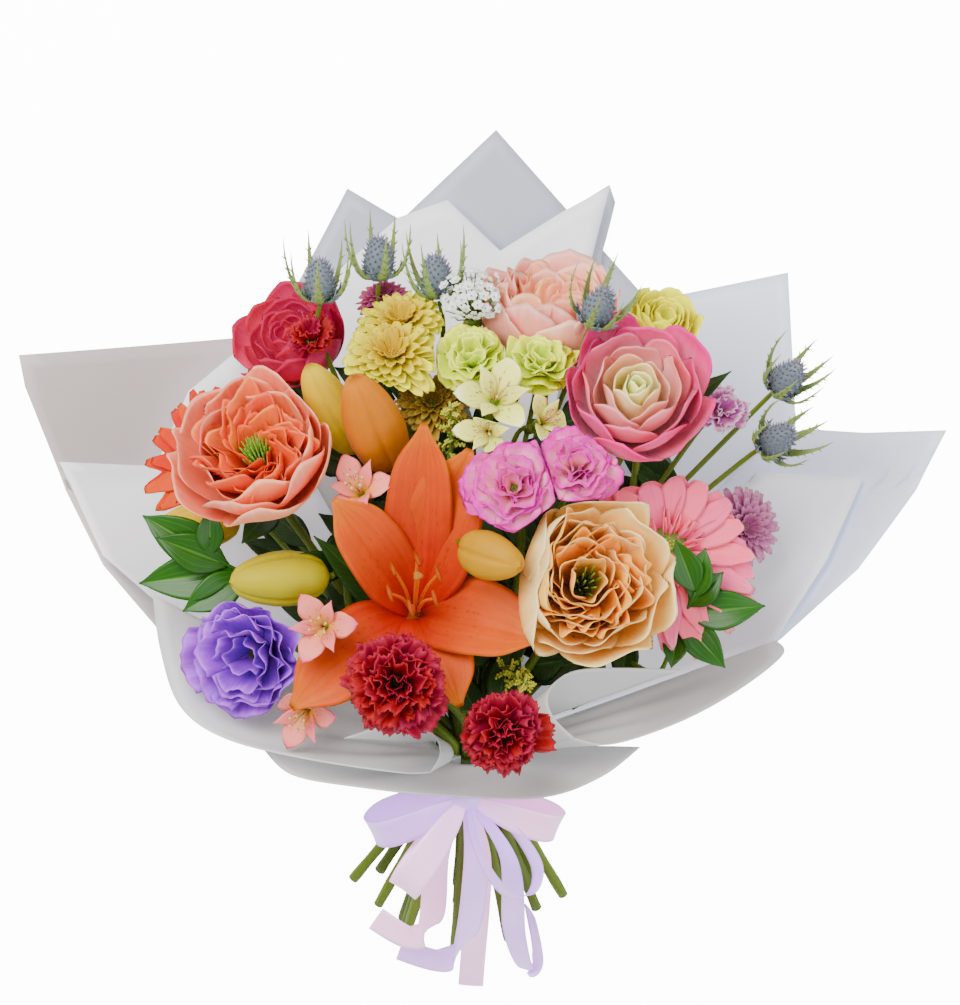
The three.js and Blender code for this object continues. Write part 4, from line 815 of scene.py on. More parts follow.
def leaf_material(name, blade, rib, gloss, ribs=16.0):
    values = {"Blade": blade, "Rib": rib, "Ribs": ribs}
    return new_material(name, leaf_tones, values, bump=0.3, roughness=gloss, specular_ior_level=0.3)


GREEN = "green parts"


def green():
    """The shared green of sepals, cups and stalks."""
    made = bpy.data.materials.get(GREEN)
    return made or leaf_material(GREEN, (0.13, 0.24, 0.03), (0.3, 0.42, 0.1), gloss=0.5)


# -------------------- blooms

OPENING = 60  # degrees that a petal's opening may differ, times the ring's variety


def add_ring(form, flower, number, start, shape, ring, chance, thickness=0.5, vary=0.05):
    """A ring of like petals, each a little different."""
    for k in range(number):
        looks = dict(shape)
        looks["length"] = shape["length"] * (1 + vary * chance.uniform(-1, 1))
        looks["rise"] = (shape["rise"][0], shape["rise"][1] + OPENING * vary * chance.uniform(-1, 1))
        looks["phase"] = chance.uniform(0, ANY_TURN)
        looks["lean"] = shape.get("lean", 0.0) + vary * chance.uniform(-1, 1)
        turn = start + TURN * k / number + vary * chance.uniform(-1, 1)
        form.blade(flower.place(petal_grid(turn=turn, **looks)), thickness, (chance.rand(), ring))


def add_heart(form, flower, profile, sides=14):
    """The closed green body under the petals, in units of the flower's radius."""
    form.lathe(profile, np.zeros(3), UP, sides, material=1, place=flower.place)


SEPALS = 5


def add_sepals(form, flower, reach, height):
    shape = dict(rise=(-10, 60), length=reach, foot=(0.1, height), half=0.12, widths=[0.8, 1, 0.6, 0],
                 wrap=0.4, steps=6, columns=4)
    for k in range(SEPALS):
        form.blade(flower.place(petal_grid(turn=TURN * k / SEPALS, **shape)), 0.5, PLAIN, 1)


ROUND = [0.2, 0.78, 1, 0.98, 0.82]
CUPPED = [
    # number, rise, length, half, wrap, roll
    (5, (15, 100), 1.53, 0.60, 0.95, 0.22),
    (5, (20, 103), 1.42, 0.55, 0.85, 0.16),
    (5, (27, 106), 1.31, 0.50, 0.75, 0.12),
    (5, (36, 108), 1.22, 0.43, 0.6, 0.1),
    (4, (48, 106), 1.14, 0.38, 0.42, 0.08),
    (4, (60, 104), 1.08, 0.32, 0.3, 0.06),
    (3, (72, 101), 1.03, 0.27, 0.2, 0.04),
    (3, (84, 97), 0.98, 0.2, 0.12, 0.02),
]
SWIRL = [
    # number, rise, length, foot radius, foot height, half
    (8, (50, 96), 0.98, 0.32, -0.45, 0.3),
    (8, (56, 92), 0.92, 0.26, -0.44, 0.28),
    (7, (62, 88), 0.84, 0.2, -0.42, 0.25),
    (7, (68, 84), 0.76, 0.15, -0.4, 0.22),
    (6, (74, 80), 0.68, 0.1, -0.38, 0.18),
]
LOOSE_SHORTER = 0.008  # length lost for each degree that a rose is opened
LOOSE_CURL = 0.05  # curl gained for each degree


def rose_form(flower, cups, swirls, frill, loose=0.0, threads=0):
    """Rings of cupped petals round a swirled heart. A loose rose opens by some degrees more."""
    form = Form()
    chance = chance_of(flower.name)
    start = 0.0
    for k, (number, rise, length, half, wrap, roll) in enumerate(CUPPED[:cups]):
        shape = dict(rise=(rise[0], rise[1] - loose), length=length * (1 - LOOSE_SHORTER * loose),
                     foot=(0.16 - 0.012 * k, -0.72 + 0.035 * k), half=half, widths=ROUND, wrap=wrap,
                     roll=roll * (1 + LOOSE_CURL * loose), frill=frill, waves=1.6, rounding=0.14, notch=0.03,
                     steps=16, columns=14)
        add_ring(form, flower, number, start, shape, k / 9, chance, vary=1.2 * frill)
        start += 0.63 + chance.uniform(-0.2, 0.2)
    for k, (number, rise, length, foot, height, half) in enumerate(SWIRL[:swirls]):
        shape = dict(rise=rise, length=length, foot=(foot, height), half=half, widths=[0.3, 0.8, 1, 0.95],
                     wrap=0.26, roll=0.16, frill=1.5 * frill, waves=1.4, lean=0.16, rounding=0.22,
                     steps=14, columns=16)
        add_ring(form, flower, number, start, shape, 0.75 + 0.05 * k, chance, 0.4, vary=0.13)
        start += 0.41 + chance.uniform(-0.1, 0.1)
    add_tuft(form, flower, chance, threads)
    add_heart(form, flower, [[0, -0.86], [0.16, -0.84], [0.3, -0.72], [0.34, -0.6], [0.2, -0.42], [0, -0.38]])
    add_sepals(form, flower, 0.55, -0.76)
    return form


TUFT_TOP = 0.36
TUFT_SPREAD = 0.2


def add_tuft(form, flower, chance, number):
    """Fine green threads in an open rose's heart."""
    for k in range(number):
        toward = vec([math.cos(SPIRAL * k), math.sin(SPIRAL * k), 0])
        reach = TUFT_SPREAD * math.sqrt((k + 0.5) / number)
        foot = 0.4 * reach * toward - 0.4 * UP
        tip = reach * toward + UP * (TUFT_TOP - 0.9 * reach + 0.05 * chance.rand())
        line = [foot, mix(foot, tip, 0.5) + 0.04 * UP, tip]
        form.tube(flower.place(vec(line)), [0.5, 0.55, 0.35], 6, (chance.rand(), 0), 2)


SMALL_CARNATION = 15  # one with a smaller radius has fewer petals
SOFT_FRINGE = 0.15
SHARP_FRINGE = 1.0


def carnation_form(flower, fringe, small):
    """Rings of ruffled petals. Soft kinds, with less fringe, have broader petals."""
    form = Form()
    chance = chance_of(flower.name)
    plan = [
        # number, rise, length, half, frill
        (7, (58, -10), 1.1, 0.44, 0.2), (6, (62, 6), 1.08, 0.42, 0.2), (6, (68, 24), 1.04, 0.38, 0.18),
        (5, (76, 42), 1.0, 0.35, 0.17), (5, (82, 60), 0.96, 0.29, 0.14), (4, (87, 78), 0.9, 0.22, 0.12),
    ]
    if small:
        plan = [plan[0], plan[2], plan[4]]
    start = 0.0
    for k, (number, rise, length, half, frill) in enumerate(plan):
        shape = dict(rise=rise, length=length, foot=(0.08, -0.6 + 0.02 * k),
                     half=half * (1.15 - 0.1 * fringe), widths=[0.16, 0.3, 0.74, 1.08, 1.05],
                     wrap=3, frill=frill, waves=1.1 + 1.1 * fringe,
                     rounding=0.17 - 0.07 * fringe, crimp=0.012 + 0.024 * fringe,
                     teeth=4 + 3.5 * fringe, steps=14, columns=24)
        add_ring(form, flower, number, start, shape, k / len(plan), chance, 0.35, vary=0.16)
        start += 0.5 + chance.uniform(-0.25, 0.25)
    add_heart(form, flower, [[0, -0.88], [0.2, -0.86], [0.27, -0.7], [0.25, -0.45], [0.1, -0.3], [0, -0.28]])
    return form


def mum_form(flower):
    """Rings of narrow florets over a button of closed ones."""
    form = Form()
    chance = chance_of(flower.name)
    rows = [
        # number, rise, length, height
        (17, (8, -16), 0.88, 0.0), (17, (14, -8), 0.82, 0.04), (16, (22, 4), 0.75, 0.08),
        (15, (32, 16), 0.66, 0.12), (13, (46, 30), 0.54, 0.15), (12, (60, 46), 0.42, 0.17),
    ]
    start = 0.0
    for k, (number, rise, length, height) in enumerate(rows):
        shape = dict(rise=rise, length=length, foot=(0.13 - 0.012 * k, -0.06 + height),
                     half=0.135 - 0.008 * k, widths=[0.4, 0.8, 1, 1.05, 0.7], wrap=0.14, roll=-0.04,
                     frill=0.03, rounding=0.22, notch=-0.05, steps=8, columns=8)
        add_ring(form, flower, number, start, shape, k / 7, chance, 0.4, vary=0.06)
        start += TURN / number * 0.5 + 0.02
    add_florets(form, flower, 46, 0.15, 0.2, 0.022, 0.06)
    add_heart(form, flower, [[0, -0.36], [0.2, -0.34], [0.34, -0.12], [0.3, 0.02], [0.17, 0.14], [0, 0.18]])
    return form


FLORET = vec([0.8, 1.1, 0.5])  # radii of a floret from foot to tip, in floret widths


def add_florets(form, flower, number, spread, height, width, length):
    """A disc of tiny florets in a sunflower spiral."""
    for k in range(number):
        turn = FLORET_SPIRAL * k
        reach = spread * math.sqrt((k + 0.5) / number)
        top = height - 0.5 * reach ** 2 / spread
        foot = vec([reach * math.cos(turn), reach * math.sin(turn), top - length])
        tip = foot * [1.12, 1.12, 1] + [0, 0, length]
        line = flower.place(vec([foot, mix(foot, tip, 0.6), tip]))
        tone = (0.5 + 0.4 * math.sin(3.1 * k), k / number)
        form.tube(line, FLORET * width * flower.radius, 6, tone, 2)


def gerbera_form(flower):
    """Two rings of long rays, two of short ones and a disc."""
    form = Form()
    chance = chance_of(flower.name)
    rays = dict(foot=(0.12, -0.04), widths=[0.35, 0.75, 1, 1, 0.7], wrap=0.2, rounding=0.3, notch=-0.04,
                dome=0.02, steps=12, columns=6)
    for number, start, rise, length, half, ring, thickness, vary in (
        (19, 0.0, (10, -10), 0.9, 0.145, 0.0, 0.5, 0.05),
        (17, 0.17, (15, -2), 0.82, 0.13, 0.15, 0.5, 0.05),
        (34, 0.05, (26, 12), 0.34, 0.026, 0.5, 0.4, 0.16),
        (34, 0.2, (40, 30), 0.24, 0.022, 0.8, 0.35, 0.18),
    ):
        shape = dict(rays, rise=rise, length=length, half=half)
        add_ring(form, flower, number, start, shape, ring, chance, thickness, vary)
    add_florets(form, flower, 130, 0.19, 0.1, 0.013, 0.06)
    add_heart(form, flower, [[0, -0.2], [0.12, -0.19], [0.26, -0.08], [0.26, 0.0], [0.18, 0.05], [0, 0.07]])
    return form


def lisianthus_form(flower):
    """A double cup of broad, crimped petals."""
    form = Form()
    chance = chance_of(flower.name)
    plan = [
        # number, rise, length, half, frill
        (5, (30, 40), 1.18, 0.56, 0.17), (5, (38, 50), 1.12, 0.52, 0.16), (5, (48, 62), 1.06, 0.44, 0.14),
        (4, (60, 74), 1.0, 0.38, 0.12), (3, (74, 84), 0.92, 0.3, 0.1),
    ]
    start = 0.0
    for k, (number, rise, length, half, frill) in enumerate(plan):
        shape = dict(rise=rise, length=length, foot=(0.1, -0.52), half=half, widths=[0.2, 0.6, 0.95, 1.1],
                     wrap=0.9, frill=frill, waves=1.7, rounding=0.16, crimp=0.012, teeth=5,
                     steps=16, columns=22)
        add_ring(form, flower, number, start, shape, k / 6, chance, 0.4, vary=0.14)
        start += 0.55
    add_heart(form, flower, [[0, -0.78], [0.16, -0.76], [0.26, -0.6], [0.2, -0.4], [0, -0.3]])
    add_sepals(form, flower, 0.7, -0.7)
    return form


STAMENS = 6


def alstroemeria_form(flower):
    """Three broad and three narrow tepals round six stamens."""
    form = Form()
    chance = chance_of(flower.name)
    tepal = dict(foot=(0.06, -0.52), wrap=0.8, rounding=0.1, steps=14, columns=8)
    outer = dict(tepal, rise=(65, 15), length=1.2, half=0.34, widths=[0.25, 0.6, 0.95, 1, 0.55], roll=0.06,
                 notch=0.04)
    inner = dict(tepal, rise=(70, 35), length=1.15, half=0.21, widths=[0.3, 0.7, 1, 0.75, 0.1], dome=0.04)
    add_ring(form, flower, 3, 0.0, outer, 0.0, chance, 0.5)
    add_ring(form, flower, 3, math.pi / 3, inner, 1.0, chance, 0.45)
    for k in range(STAMENS):
        turn = 1.05 * k + 0.3
        tip = vec([0.22 * math.cos(turn), 0.22 * math.sin(turn), 0.42])
        line = flower.place(vec([[0, 0, -0.5], tip * [0.4, 0.4, 0] + [0, 0, 0.05], tip]))
        form.tube(line, [0.5, 0.4, 0.35], 6, (0.5, 1), 2)
        half = flower.face * 1.1
        form.tube([line[-1] - half, line[-1] + half], [0.7, 0.8], 6, (0.2, 0), 2)
    add_heart(form, flower, [[0, -0.8], [0.14, -0.76], [0.18, -0.6], [0.12, -0.42], [0, -0.36]])
    return form


STARS = 46
STAR_REACH = 0.16
STAR_TURN = 6.283  # all the way round a star
STAR_CAP = 1 - math.cos(math.radians(84))  # part of a ball that the stars cover


def gypsophila_form(flower):
    """Small double white flowers on threads from a knot."""
    form = Form()
    chance = chance_of(flower.name)
    root = vec([0, 0, -0.55])
    for k in range(STARS):
        high = 1 - (k + 0.5) / STARS * STAR_CAP
        level = math.sqrt(1 - high * high)
        reach = chance.uniform(0.62, 1.0)
        tip = vec([level * math.cos(SPIRAL * k), level * math.sin(SPIRAL * k), high]) * reach
        toward = unit(tip - root)
        basis = basis_at(toward, chance.uniform(0, 6))
        for layer, (number, size, slope) in enumerate([(6, STAR_REACH, 20), (5, 0.7 * STAR_REACH, 45)]):
            for j in range(number):
                local = petal_grid(
                    rise=(slope, slope + 10), length=size, foot=(0.01, 0.0), half=0.4 * size,
                    widths=[0.4, 1, 1, 0.7], turn=STAR_TURN * j / number + layer, wrap=size, rounding=0.2,
                    steps=3, columns=4)
                form.blade(flower.place(local @ basis.T + tip), 0.3, (chance.rand(), 0))
        line = flower.place(vec([root + toward * 0.1, mix(root, tip, 0.6) + [0, 0, 0.03], tip]))
        form.tube(line, [0.5, 0.35], 4, PLAIN, 1)
    add_heart(form, flower, [[0, -0.72], [0.1, -0.7], [0.14, -0.56], [0, -0.42]], sides=8)
    return form


# -------------------- lily, buds, thistles, sprigs and fillers

LILY_THROAT = 34.0
LILY_HALVES = (16.5, 20.0)  # half widths of the narrow and the broad tepals


def stigma_lobes(turn):
    return 1 + 0.2 * np.cos(3 * turn)


def lily_form():
    """Six curled tepals round the stamens and the pistil."""
    form = Form()
    chance = chance_of("lily")
    root = LILY_AT - LILY_FACE * LILY_THROAT
    for k, tip in enumerate(LILY_TIPS):
        bend = mix(LILY_AT, vec(tip), 0.3) + LILY_FACE * 4
        grid = tongue_grid(
            [root, bend, vec(tip)], LILY_FACE, LILY_HALVES[k % 2], [0.15, 0.58, 0.94, 1.04, 1.0, 0.78, 0.1],
            cup=0.2, wave=0.05, steps=34, columns=16, keel=-0.08)
        form.blade(grid, 1.2, (0.3 + 0.4 * chance.rand(), 0))
    basis = basis_at(LILY_FACE)
    for k in range(STAMENS):
        turn = math.pi / 3 * k + 0.4
        tip = vec([13 * math.cos(turn), 13 * math.sin(turn), 21])
        line = [vec([1.4 * math.cos(turn), 1.4 * math.sin(turn), -26]), tip * [0.45, 0.45, 0.1], tip]
        line = curve_points(vec(line) @ basis.T + LILY_AT, 9)
        form.tube(line, [1.0, 0.9, 0.7], 8, PLAIN, 1)
        ahead = unit(np.cross(line[-1] - line[-2], basis[:, 0] + 0.3 * basis[:, 1]))
        half = ahead * 4.5
        form.tube([line[-1] - half, line[-1], line[-1] + half], [0.8, 1.3, 0.8], 8, PLAIN, 2)
    pistil = vec([[0.4, 0, -30], [0.8, 0.5, 0], [2, 1.5, 29]]) @ basis.T + LILY_AT
    form.tube(curve_points(pistil, 9), [1.3, 1.2, 1.2], 8, PLAIN, 1)
    form.lathe([[0, -1.5], [2.1, -1], [2.5, 0.8], [1.2, 1.8], [0, 1.9]], pistil[-1], LILY_FACE, 12,
               lobe=stigma_lobes, material=3)
    form.lathe([[0, -LILY_THROAT - 2], [4.6, -LILY_THROAT], [5.2, -LILY_THROAT + 6], [0, -LILY_THROAT + 9]],
               LILY_AT, LILY_FACE, 12, material=3)
    return form


BUD_PROFILE = [[0, 0], [0.3, 0.01], [0.58, 0.06], [0.86, 0.2], [1.0, 0.4], [0.97, 0.56], [0.84, 0.72],
               [0.65, 0.85], [0.44, 0.94], [0.22, 0.988], [0, 1]]


def bud_ribs(turn):
    groove = np.exp(-((np.mod(turn, TURN / 3) - math.pi / 3) / 0.09) ** 2)
    return 0.94 + 0.06 * np.cos(3 * turn) - 0.13 * groove


def bud_form(base, tip, radius):
    """A lily bud: three long tepals that meet along grooves."""
    form = Form()
    base, tip = vec(base), vec(tip)
    length = np.linalg.norm(tip - base)
    heights = np.linspace(0, 1, 26)
    plan = vec(BUD_PROFILE)
    radii = np.interp(heights, plan[:, 1], plan[:, 0]) * radius
    radii[1:-1] = (radii[:-2] + 2 * radii[1:-1] + radii[2:]) / 4
    profile = np.column_stack([radii, heights * length])
    form.lathe(profile, base, tip - base, 48, lobe=bud_ribs)
    return form


CONE_SPINES = 110
BRACTS = 13
BRACT_TEETH = 6


def thistle_form(at, face, name):
    """Sea holly: a spiny cone over a ruff of toothed bracts."""
    form = Form()
    chance = chance_of(name)
    at, face = vec(at), unit(vec(face))
    basis = basis_at(face)
    form.lathe([[0, -2], [4, -1], [7, 3], [7.6, 8], [6.4, 14], [3.6, 19], [0, 21.5]], at, face, 16)
    for k in range(CONE_SPINES):
        share = (k + 0.5) / CONE_SPINES
        turn = FLORET_SPIRAL * k
        height = 1 + 19.5 * share
        radius = np.interp(height, [-1, 3, 8, 14, 19, 21.5], [4, 7, 7.6, 6.4, 3.6, 0.3])
        foot = vec([0.9 * radius * math.cos(turn), 0.9 * radius * math.sin(turn), height])
        tip = foot + vec([math.cos(turn), math.sin(turn), 0.5 + share]) * (2.6 - share)
        form.tube(vec([foot, tip]) @ basis.T + at, [0.75, 0.15], 4, (chance.rand(), share), 0)
    for k in range(BRACTS):
        turn = TURN * k / BRACTS + chance.uniform(-0.2, 0.2)
        tall = k % 2 == 0
        reach = chance.uniform(30, 36) if tall else chance.uniform(17, 23)
        out = vec([math.cos(turn), math.sin(turn), 0])
        rise = vec([0, 0, 1 if tall else 0.45])
        path = [out * 2, out * 0.5 * reach - [0, 0, 2], out * 0.52 * reach + rise * 0.92 * reach]
        path = vec(path) @ basis.T + at
        half, material = (2.5, 1) if tall else (1.3, 2)
        grid = tongue_grid(path, basis @ -out, half, [0.7, 1, 0.8, 0.45, 0.05], cup=0.4, steps=12, columns=4)
        form.blade(grid, 0.6, (chance.rand(), 0.8 * chance.rand()), material)
        for j in range(BRACT_TEETH):
            share = 0.2 + 0.12 * j
            foot = bezier(path[0], path[1], path[2], share)
            ahead = unit(path[2] - path[0])
            sideways = unit(np.cross(basis @ out, ahead))
            for hand in (-1, 1):
                tip = foot + (sideways * hand * 0.8 + ahead) * (4.4 - 2.4 * share)
                form.tube(vec([foot, tip]), [0.6, 0.15], 4, (chance.rand(), 0.4), material)
    return form


def sprig_form(start, end, tips, name):
    """A twig with one glossy leaf for each tip."""
    form = Form()
    chance = chance_of(name)
    start, end = vec(start), vec(end)
    form.tube(curve_points([mix(start, end, -0.4), start, end], 8), [1.5, 1.1, 0.8], 8, PLAIN, 1)
    for k, tip in enumerate(tips):
        joint = mix(start, end, k / (len(tips) - 1))
        tip = vec(tip)
        half = 0.2 * np.linalg.norm(tip - joint) + 2
        path = [joint, mix(joint, tip, 0.5) + [0, 0, 5], tip]
        grid = tongue_grid(path, UP, half, [0.12, 0.72, 1.02, 0.88, 0.5, 0.03], cup=0.22, steps=22,
                           columns=12, keel=-0.1, wave=0.02)
        form.blade(grid, 0.7, (chance.rand(), 0))
    return form


SOLIDAGO = [
    ("solidago_center", [(-18, 40, 120), (-14, 62, 138), (-16, 76, 152)]),
    ("solidago_front", [(4, -50, 108), (16, -58, 124), (22, -62, 138)]),
]
STALK_POINTS = 14
SIDE_TWIGS = 22
TWIG_FLORETS = 9


def plume_form(line, name):
    """Goldenrod: a stalk with short side twigs set with tiny florets."""
    form = Form()
    chance = chance_of(name)
    bends = [vec(point) for point in line]
    stalk = bezier(*bends, np.linspace(0, 1, STALK_POINTS))
    form.tube(stalk, [1.6, 0.6], 8, PLAIN, 1)
    ahead = tangents(stalk)
    for k in range(SIDE_TWIGS):
        u = 0.22 + 0.78 * k / SIDE_TWIGS
        at = bezier(*bends, u)
        basis = basis_at(ahead[int(u * (STALK_POINTS - 1))])
        reach = (13.5 - 9 * u) * chance.uniform(0.8, 1)
        out = vec([math.cos(SPIRAL * k), math.sin(SPIRAL * k), 0.5])
        twig = vec([[0, 0, 0], out * 0.5 * reach + [0, 0, 1], out * reach]) @ basis.T + at
        form.tube(twig, [0.5, 0.3], 4, PLAIN, 1)
        for j in range(TWIG_FLORETS):
            foot = bezier(*twig, 0.25 + 0.083 * j)
            side = vec([math.cos(2.1 * j), math.sin(2.1 * j), 0.8]) * 1.5
            tip = foot + side @ basis.T
            form.tube(vec([foot, mix(foot, tip, 0.6), tip]), [0.3, 0.75, 0.5], 4, (chance.rand(), 0), 0)
    return form


# -------------------- paper

WAIST = 17.2
WAIST_PITCH = 2.3
SPREAD_PITCH = 4.2
OUTER_LAYER = 4
TUBE_BELOW = 12.0
TUBE_ABOVE = 11.0
TUBE_FADE = 12.0
PAPER = 0.5
# Where the outermost sheet starts to rise off the table, and how steeply.
SIDE_RISE = (90, 0.0036)
FRONT_RISE = (40, 0.00003)
BACK_RISE = (150, 0.002)
TABLE_GAP = 0.4
FAN = 1.35  # turn round the tie for each radian of a sheet's direction
LANDING = (50, 30)  # way from the tie to the table, and how much more to the sides
PLEATS = 15
PLEAT = 1.5
PLEAT_AT = (60, 42)  # middle and half length of the pleats, from the tie
SLACK = 0.9
SLACK_FROM = 120

OPEN_SHEETS = [
    ("liner_back", 0, [(-99, 130), (-69, 151), (-43, 174), (-18, 183), (9, 157), (41, 177), (65, 190)]),
    ("liner_left", 1, [(-166, -20), (-191, 2), (-214, 49), (-166, 47), (-150, 85), (-124, 107)]),
    ("liner_right", 1, [(129, 30), (140, 44), (193, 41), (174, 0), (146, -43)]),
    ("paper_back_left", 1, [(-110, 110), (-91, 147), (-69, 189), (19, 137)]),
    ("paper_back_right", 2, [(-1, 151), (65, 191), (68, 182), (61, 155), (59, 130)]),
    ("paper_back_center", 3, [(-96, 122), (7, 219), (116, 97)]),
    ("paper_left", 4, [
        (-151, -50), (-191, -3), (-211, 35), (-231, 87), (-234, 103), (-124, 113), (-91, 115)]),
    ("paper_right_upper", 4, [(59, 125), (81, 131), (156, 146), (159, 90), (160, 62)]),
    ("paper_right", 3, [
        (144, 60), (165, 66), (194, 64), (234, 65), (219, 35), (189, -5), (151, -40), (139, -50)]),
]
STANDING_SHEETS = [
    ("collar_left", 0, (171, 100), 5,
     [(-166, -18, 88), (-162, -45, 100), (-152, -73, 112), (-130, -89, 122), (-91, -99, 132),
      (-43, -106, 140), (-26, -106, 142)],
     [(-21, -96, 144), (-26, -86, 144), (-44, -82, 142), (-69, -89, 138)]),
    ("collar_right", 0, (9, 80), 5,
     [(148, -41, 88), (151, -48, 95), (129, -65, 112), (99, -81, 124), (65, -92, 134), (46, -89, 140)],
     [(35, -78, 142), (33, -66, 142), (44, -56, 142), (66, -54, 140), (99, -55, 134)]),
    ("collar_front", 3, (162, 18), 6,
     [(-110, -95, 112), (-95, -108, 118), (-61, -114, 124), (-21, -118, 128), (29, -119, 126),
      (59, -109, 120), (79, -94, 114)],
     None),
]


def waist_point(angle, layer, height, inset=0.0):
    """A place on one layer of paper where it is rolled round the tie."""
    radius = WAIST + WAIST_PITCH * layer - inset
    return TIE + AXIS * height + RIGHT * radius * math.cos(angle) + LIFT * radius * math.sin(angle)


def paper_height(x, y):
    sides = SIDE_RISE[1] * np.maximum(0, np.abs(x) - SIDE_RISE[0]) ** 2
    front = FRONT_RISE[1] * x ** 2 * np.maximum(0, FRONT_RISE[0] - y)
    back = BACK_RISE[1] * np.maximum(0, y - BACK_RISE[0]) ** 2
    return sides + front + back + TABLE_GAP + SPREAD_PITCH * OUTER_LAYER


RIM_STEP = 9.0


def dense_rim(rim):
    """Rim points with more set between them, so that straight cuts stay straight."""
    rim = vec(rim)
    points = [rim[0]]
    for here, after in zip(rim[:-1], rim[1:]):
        parts = max(2, int(np.linalg.norm(after - here) / RIM_STEP))
        points += [mix(here, after, (k + 1) / parts) for k in range(parts)]
    return np.array(points)


OPEN_ROWS = 34


def open_sheet_grid(layer, rim):
    """A sheet that runs from the round tie to flat on the table, with soft pleats near the tie."""
    columns = []
    for x, y in dense_rim(rim):
        direction = math.atan2(x - TIE[0], y - TIE[1])
        angle = 1.5 * math.pi + FAN * direction
        low = waist_point(angle, layer, -TUBE_BELOW)
        high = waist_point(angle, layer, TUBE_ABOVE)
        inner = waist_point(angle, 0, TUBE_ABOVE)
        end = math.hypot(x - inner[0], y - inner[1])
        distance = end * np.linspace(0, 1, OPEN_ROWS) ** 1.3
        px = mix(inner[0], x, distance / end)
        py = mix(inner[1], y, distance / end)
        near = np.exp(-(distance / (LANDING[0] + LANDING[1] * direction ** 2)) ** 2)
        tube = np.exp(-(distance / TUBE_FADE) ** 2)
        pleat = PLEAT * math.sin(PLEATS * direction) * np.exp(-((distance - PLEAT_AT[0]) / PLEAT_AT[1]) ** 2)
        slack = SLACK * np.sin(0.045 * px + 0.031 * py + layer) * np.clip(distance / SLACK_FROM, 0, 1)
        z = mix(paper_height(px, py), inner[2], near) - SPREAD_PITCH * layer * (1 - tube) + pleat
        z = np.maximum(z + slack * (layer < OUTER_LAYER), 0.5 * PAPER)
        ray = np.column_stack([px, py, z]) + (high - inner) * tube[:, None]
        columns.append(np.concatenate([[low], ray]))
    return np.array(columns).transpose(1, 0, 2)


def standing_column(angle, layer, end, bulge, rows, inset=0.0, first=0.0):
    """One line up a standing sheet, from the tie or from a share of the way to the rim."""
    low = waist_point(angle, layer, -TUBE_BELOW, inset)
    high = waist_point(angle, layer, TUBE_ABOVE, inset)
    outward = unit((end - TIE) * [1, 1, 0]) * bulge
    bend = mix(high, end, 0.45) + outward - [0, 0, bulge]
    ray = bezier(high, bend, end, np.linspace(first, 1, rows))
    return ray if first > 0 else np.concatenate([[low], ray])


STANDING_ROWS = 20
STANDING_COLUMNS = 44
ROLLED_ROWS = 16
ROLLED_COLUMNS = 26
CREASE = 0.7
CREASES = 26
ROLL_BACK = 8  # degrees that a rolled end goes back round the tie, for each of its bends


def standing_grid(layer, angles, bulge, rim):
    """A sheet that stands up from the front of the tie to a curved rim."""
    ends = curve_points(rim, STANDING_COLUMNS)
    share = np.linspace(0, 1, STANDING_COLUMNS)
    rays = [
        standing_column(math.radians(mix(*angles, u)), layer, end, bulge * u, STANDING_ROWS)
        for u, end in zip(share, ends)
    ]
    grid = np.array(rays).transpose(1, 0, 2)
    up = np.linspace(0, 1, len(grid))[:, None]
    folds = CREASE * np.sin(CREASES * share[None, :] + 3 * up + layer) * np.sin(math.pi * up) ** 2
    return grid + grid_normals(grid) * folds[..., None]


def rolled_grid(layer, angles, bulge, rim, roll):
    """The rolled end of a standing sheet, which goes back inside it."""
    ends = curve_points([rim[-1], *roll], ROLLED_COLUMNS)
    share = np.linspace(0, len(roll), ROLLED_COLUMNS)
    back = ROLL_BACK * math.copysign(1, angles[0] - angles[1])
    rays = []
    for k, end in zip(share, ends):
        angle = math.radians(angles[1] + back * max(0, k - 1))
        inset = np.interp(k, [0, 1, len(roll)], [0, 2, 2 * len(roll)])
        belly = bulge if k == 0 else 0.5 * bulge
        rays.append(standing_column(angle, layer, end, belly, ROLLED_ROWS, inset, first=0.3))
    return np.array(rays).transpose(1, 0, 2)


# -------------------- ribbon

BAND_RADIUS = 27.5
BAND_HALF = 7.0
RIBBON = 0.5
RIBBON_COLUMNS = 6
RIBBON_CROWN = 0.06  # rise of the middle, in half widths
RIBBON_RIPPLE = 0.35
LOOP_BENDS = 8
RIBBON_WIDTH = 16.0
KNOT = TIE + LIFT * (BAND_RADIUS + 0.8 + GAP + 7)
GATHERED = 0.3  # of the ribbon's width, at the knot
LOOPS = [
    # way out from the knot, the side it opens to, opening
    ((-45, -16, -12), (0, -0.5, 0.87), 14),
    ((-30, -44, -2), (0, -0.2, 1), 10),
    ((30, -46, -6), (0.75, 0.6, -0.3), 15),
    ((43, -14, -7), (0, -0.5, 0.87), 9),
]
TAILS = [
    ([(-2, -146, 82), (-3, -178, 52), (-5, -205, 20), (-6, -218.5, 3)], [(1, 0, 0), (1, 0, 0)]),
    ([(13, -150, 96), (16, -188, 62), (22, -208, 40), (28, -202, 46), (24, -178, 66)],
     [(1, 0, 0.3), (0.2, 0, 1)]),
    ([(-22, -148, 94), (-26, -182, 70), (-36, -192, 60), (-54, -182, 64)], [(1, 0, 0), (0, 1, 0.4)]),
    ([(-4, -154, 101), (-8, -190, 68), (-20, -204, 46), (-42, -198, 46)], [(1, 0, 0), (0, 1, 0.5)]),
]


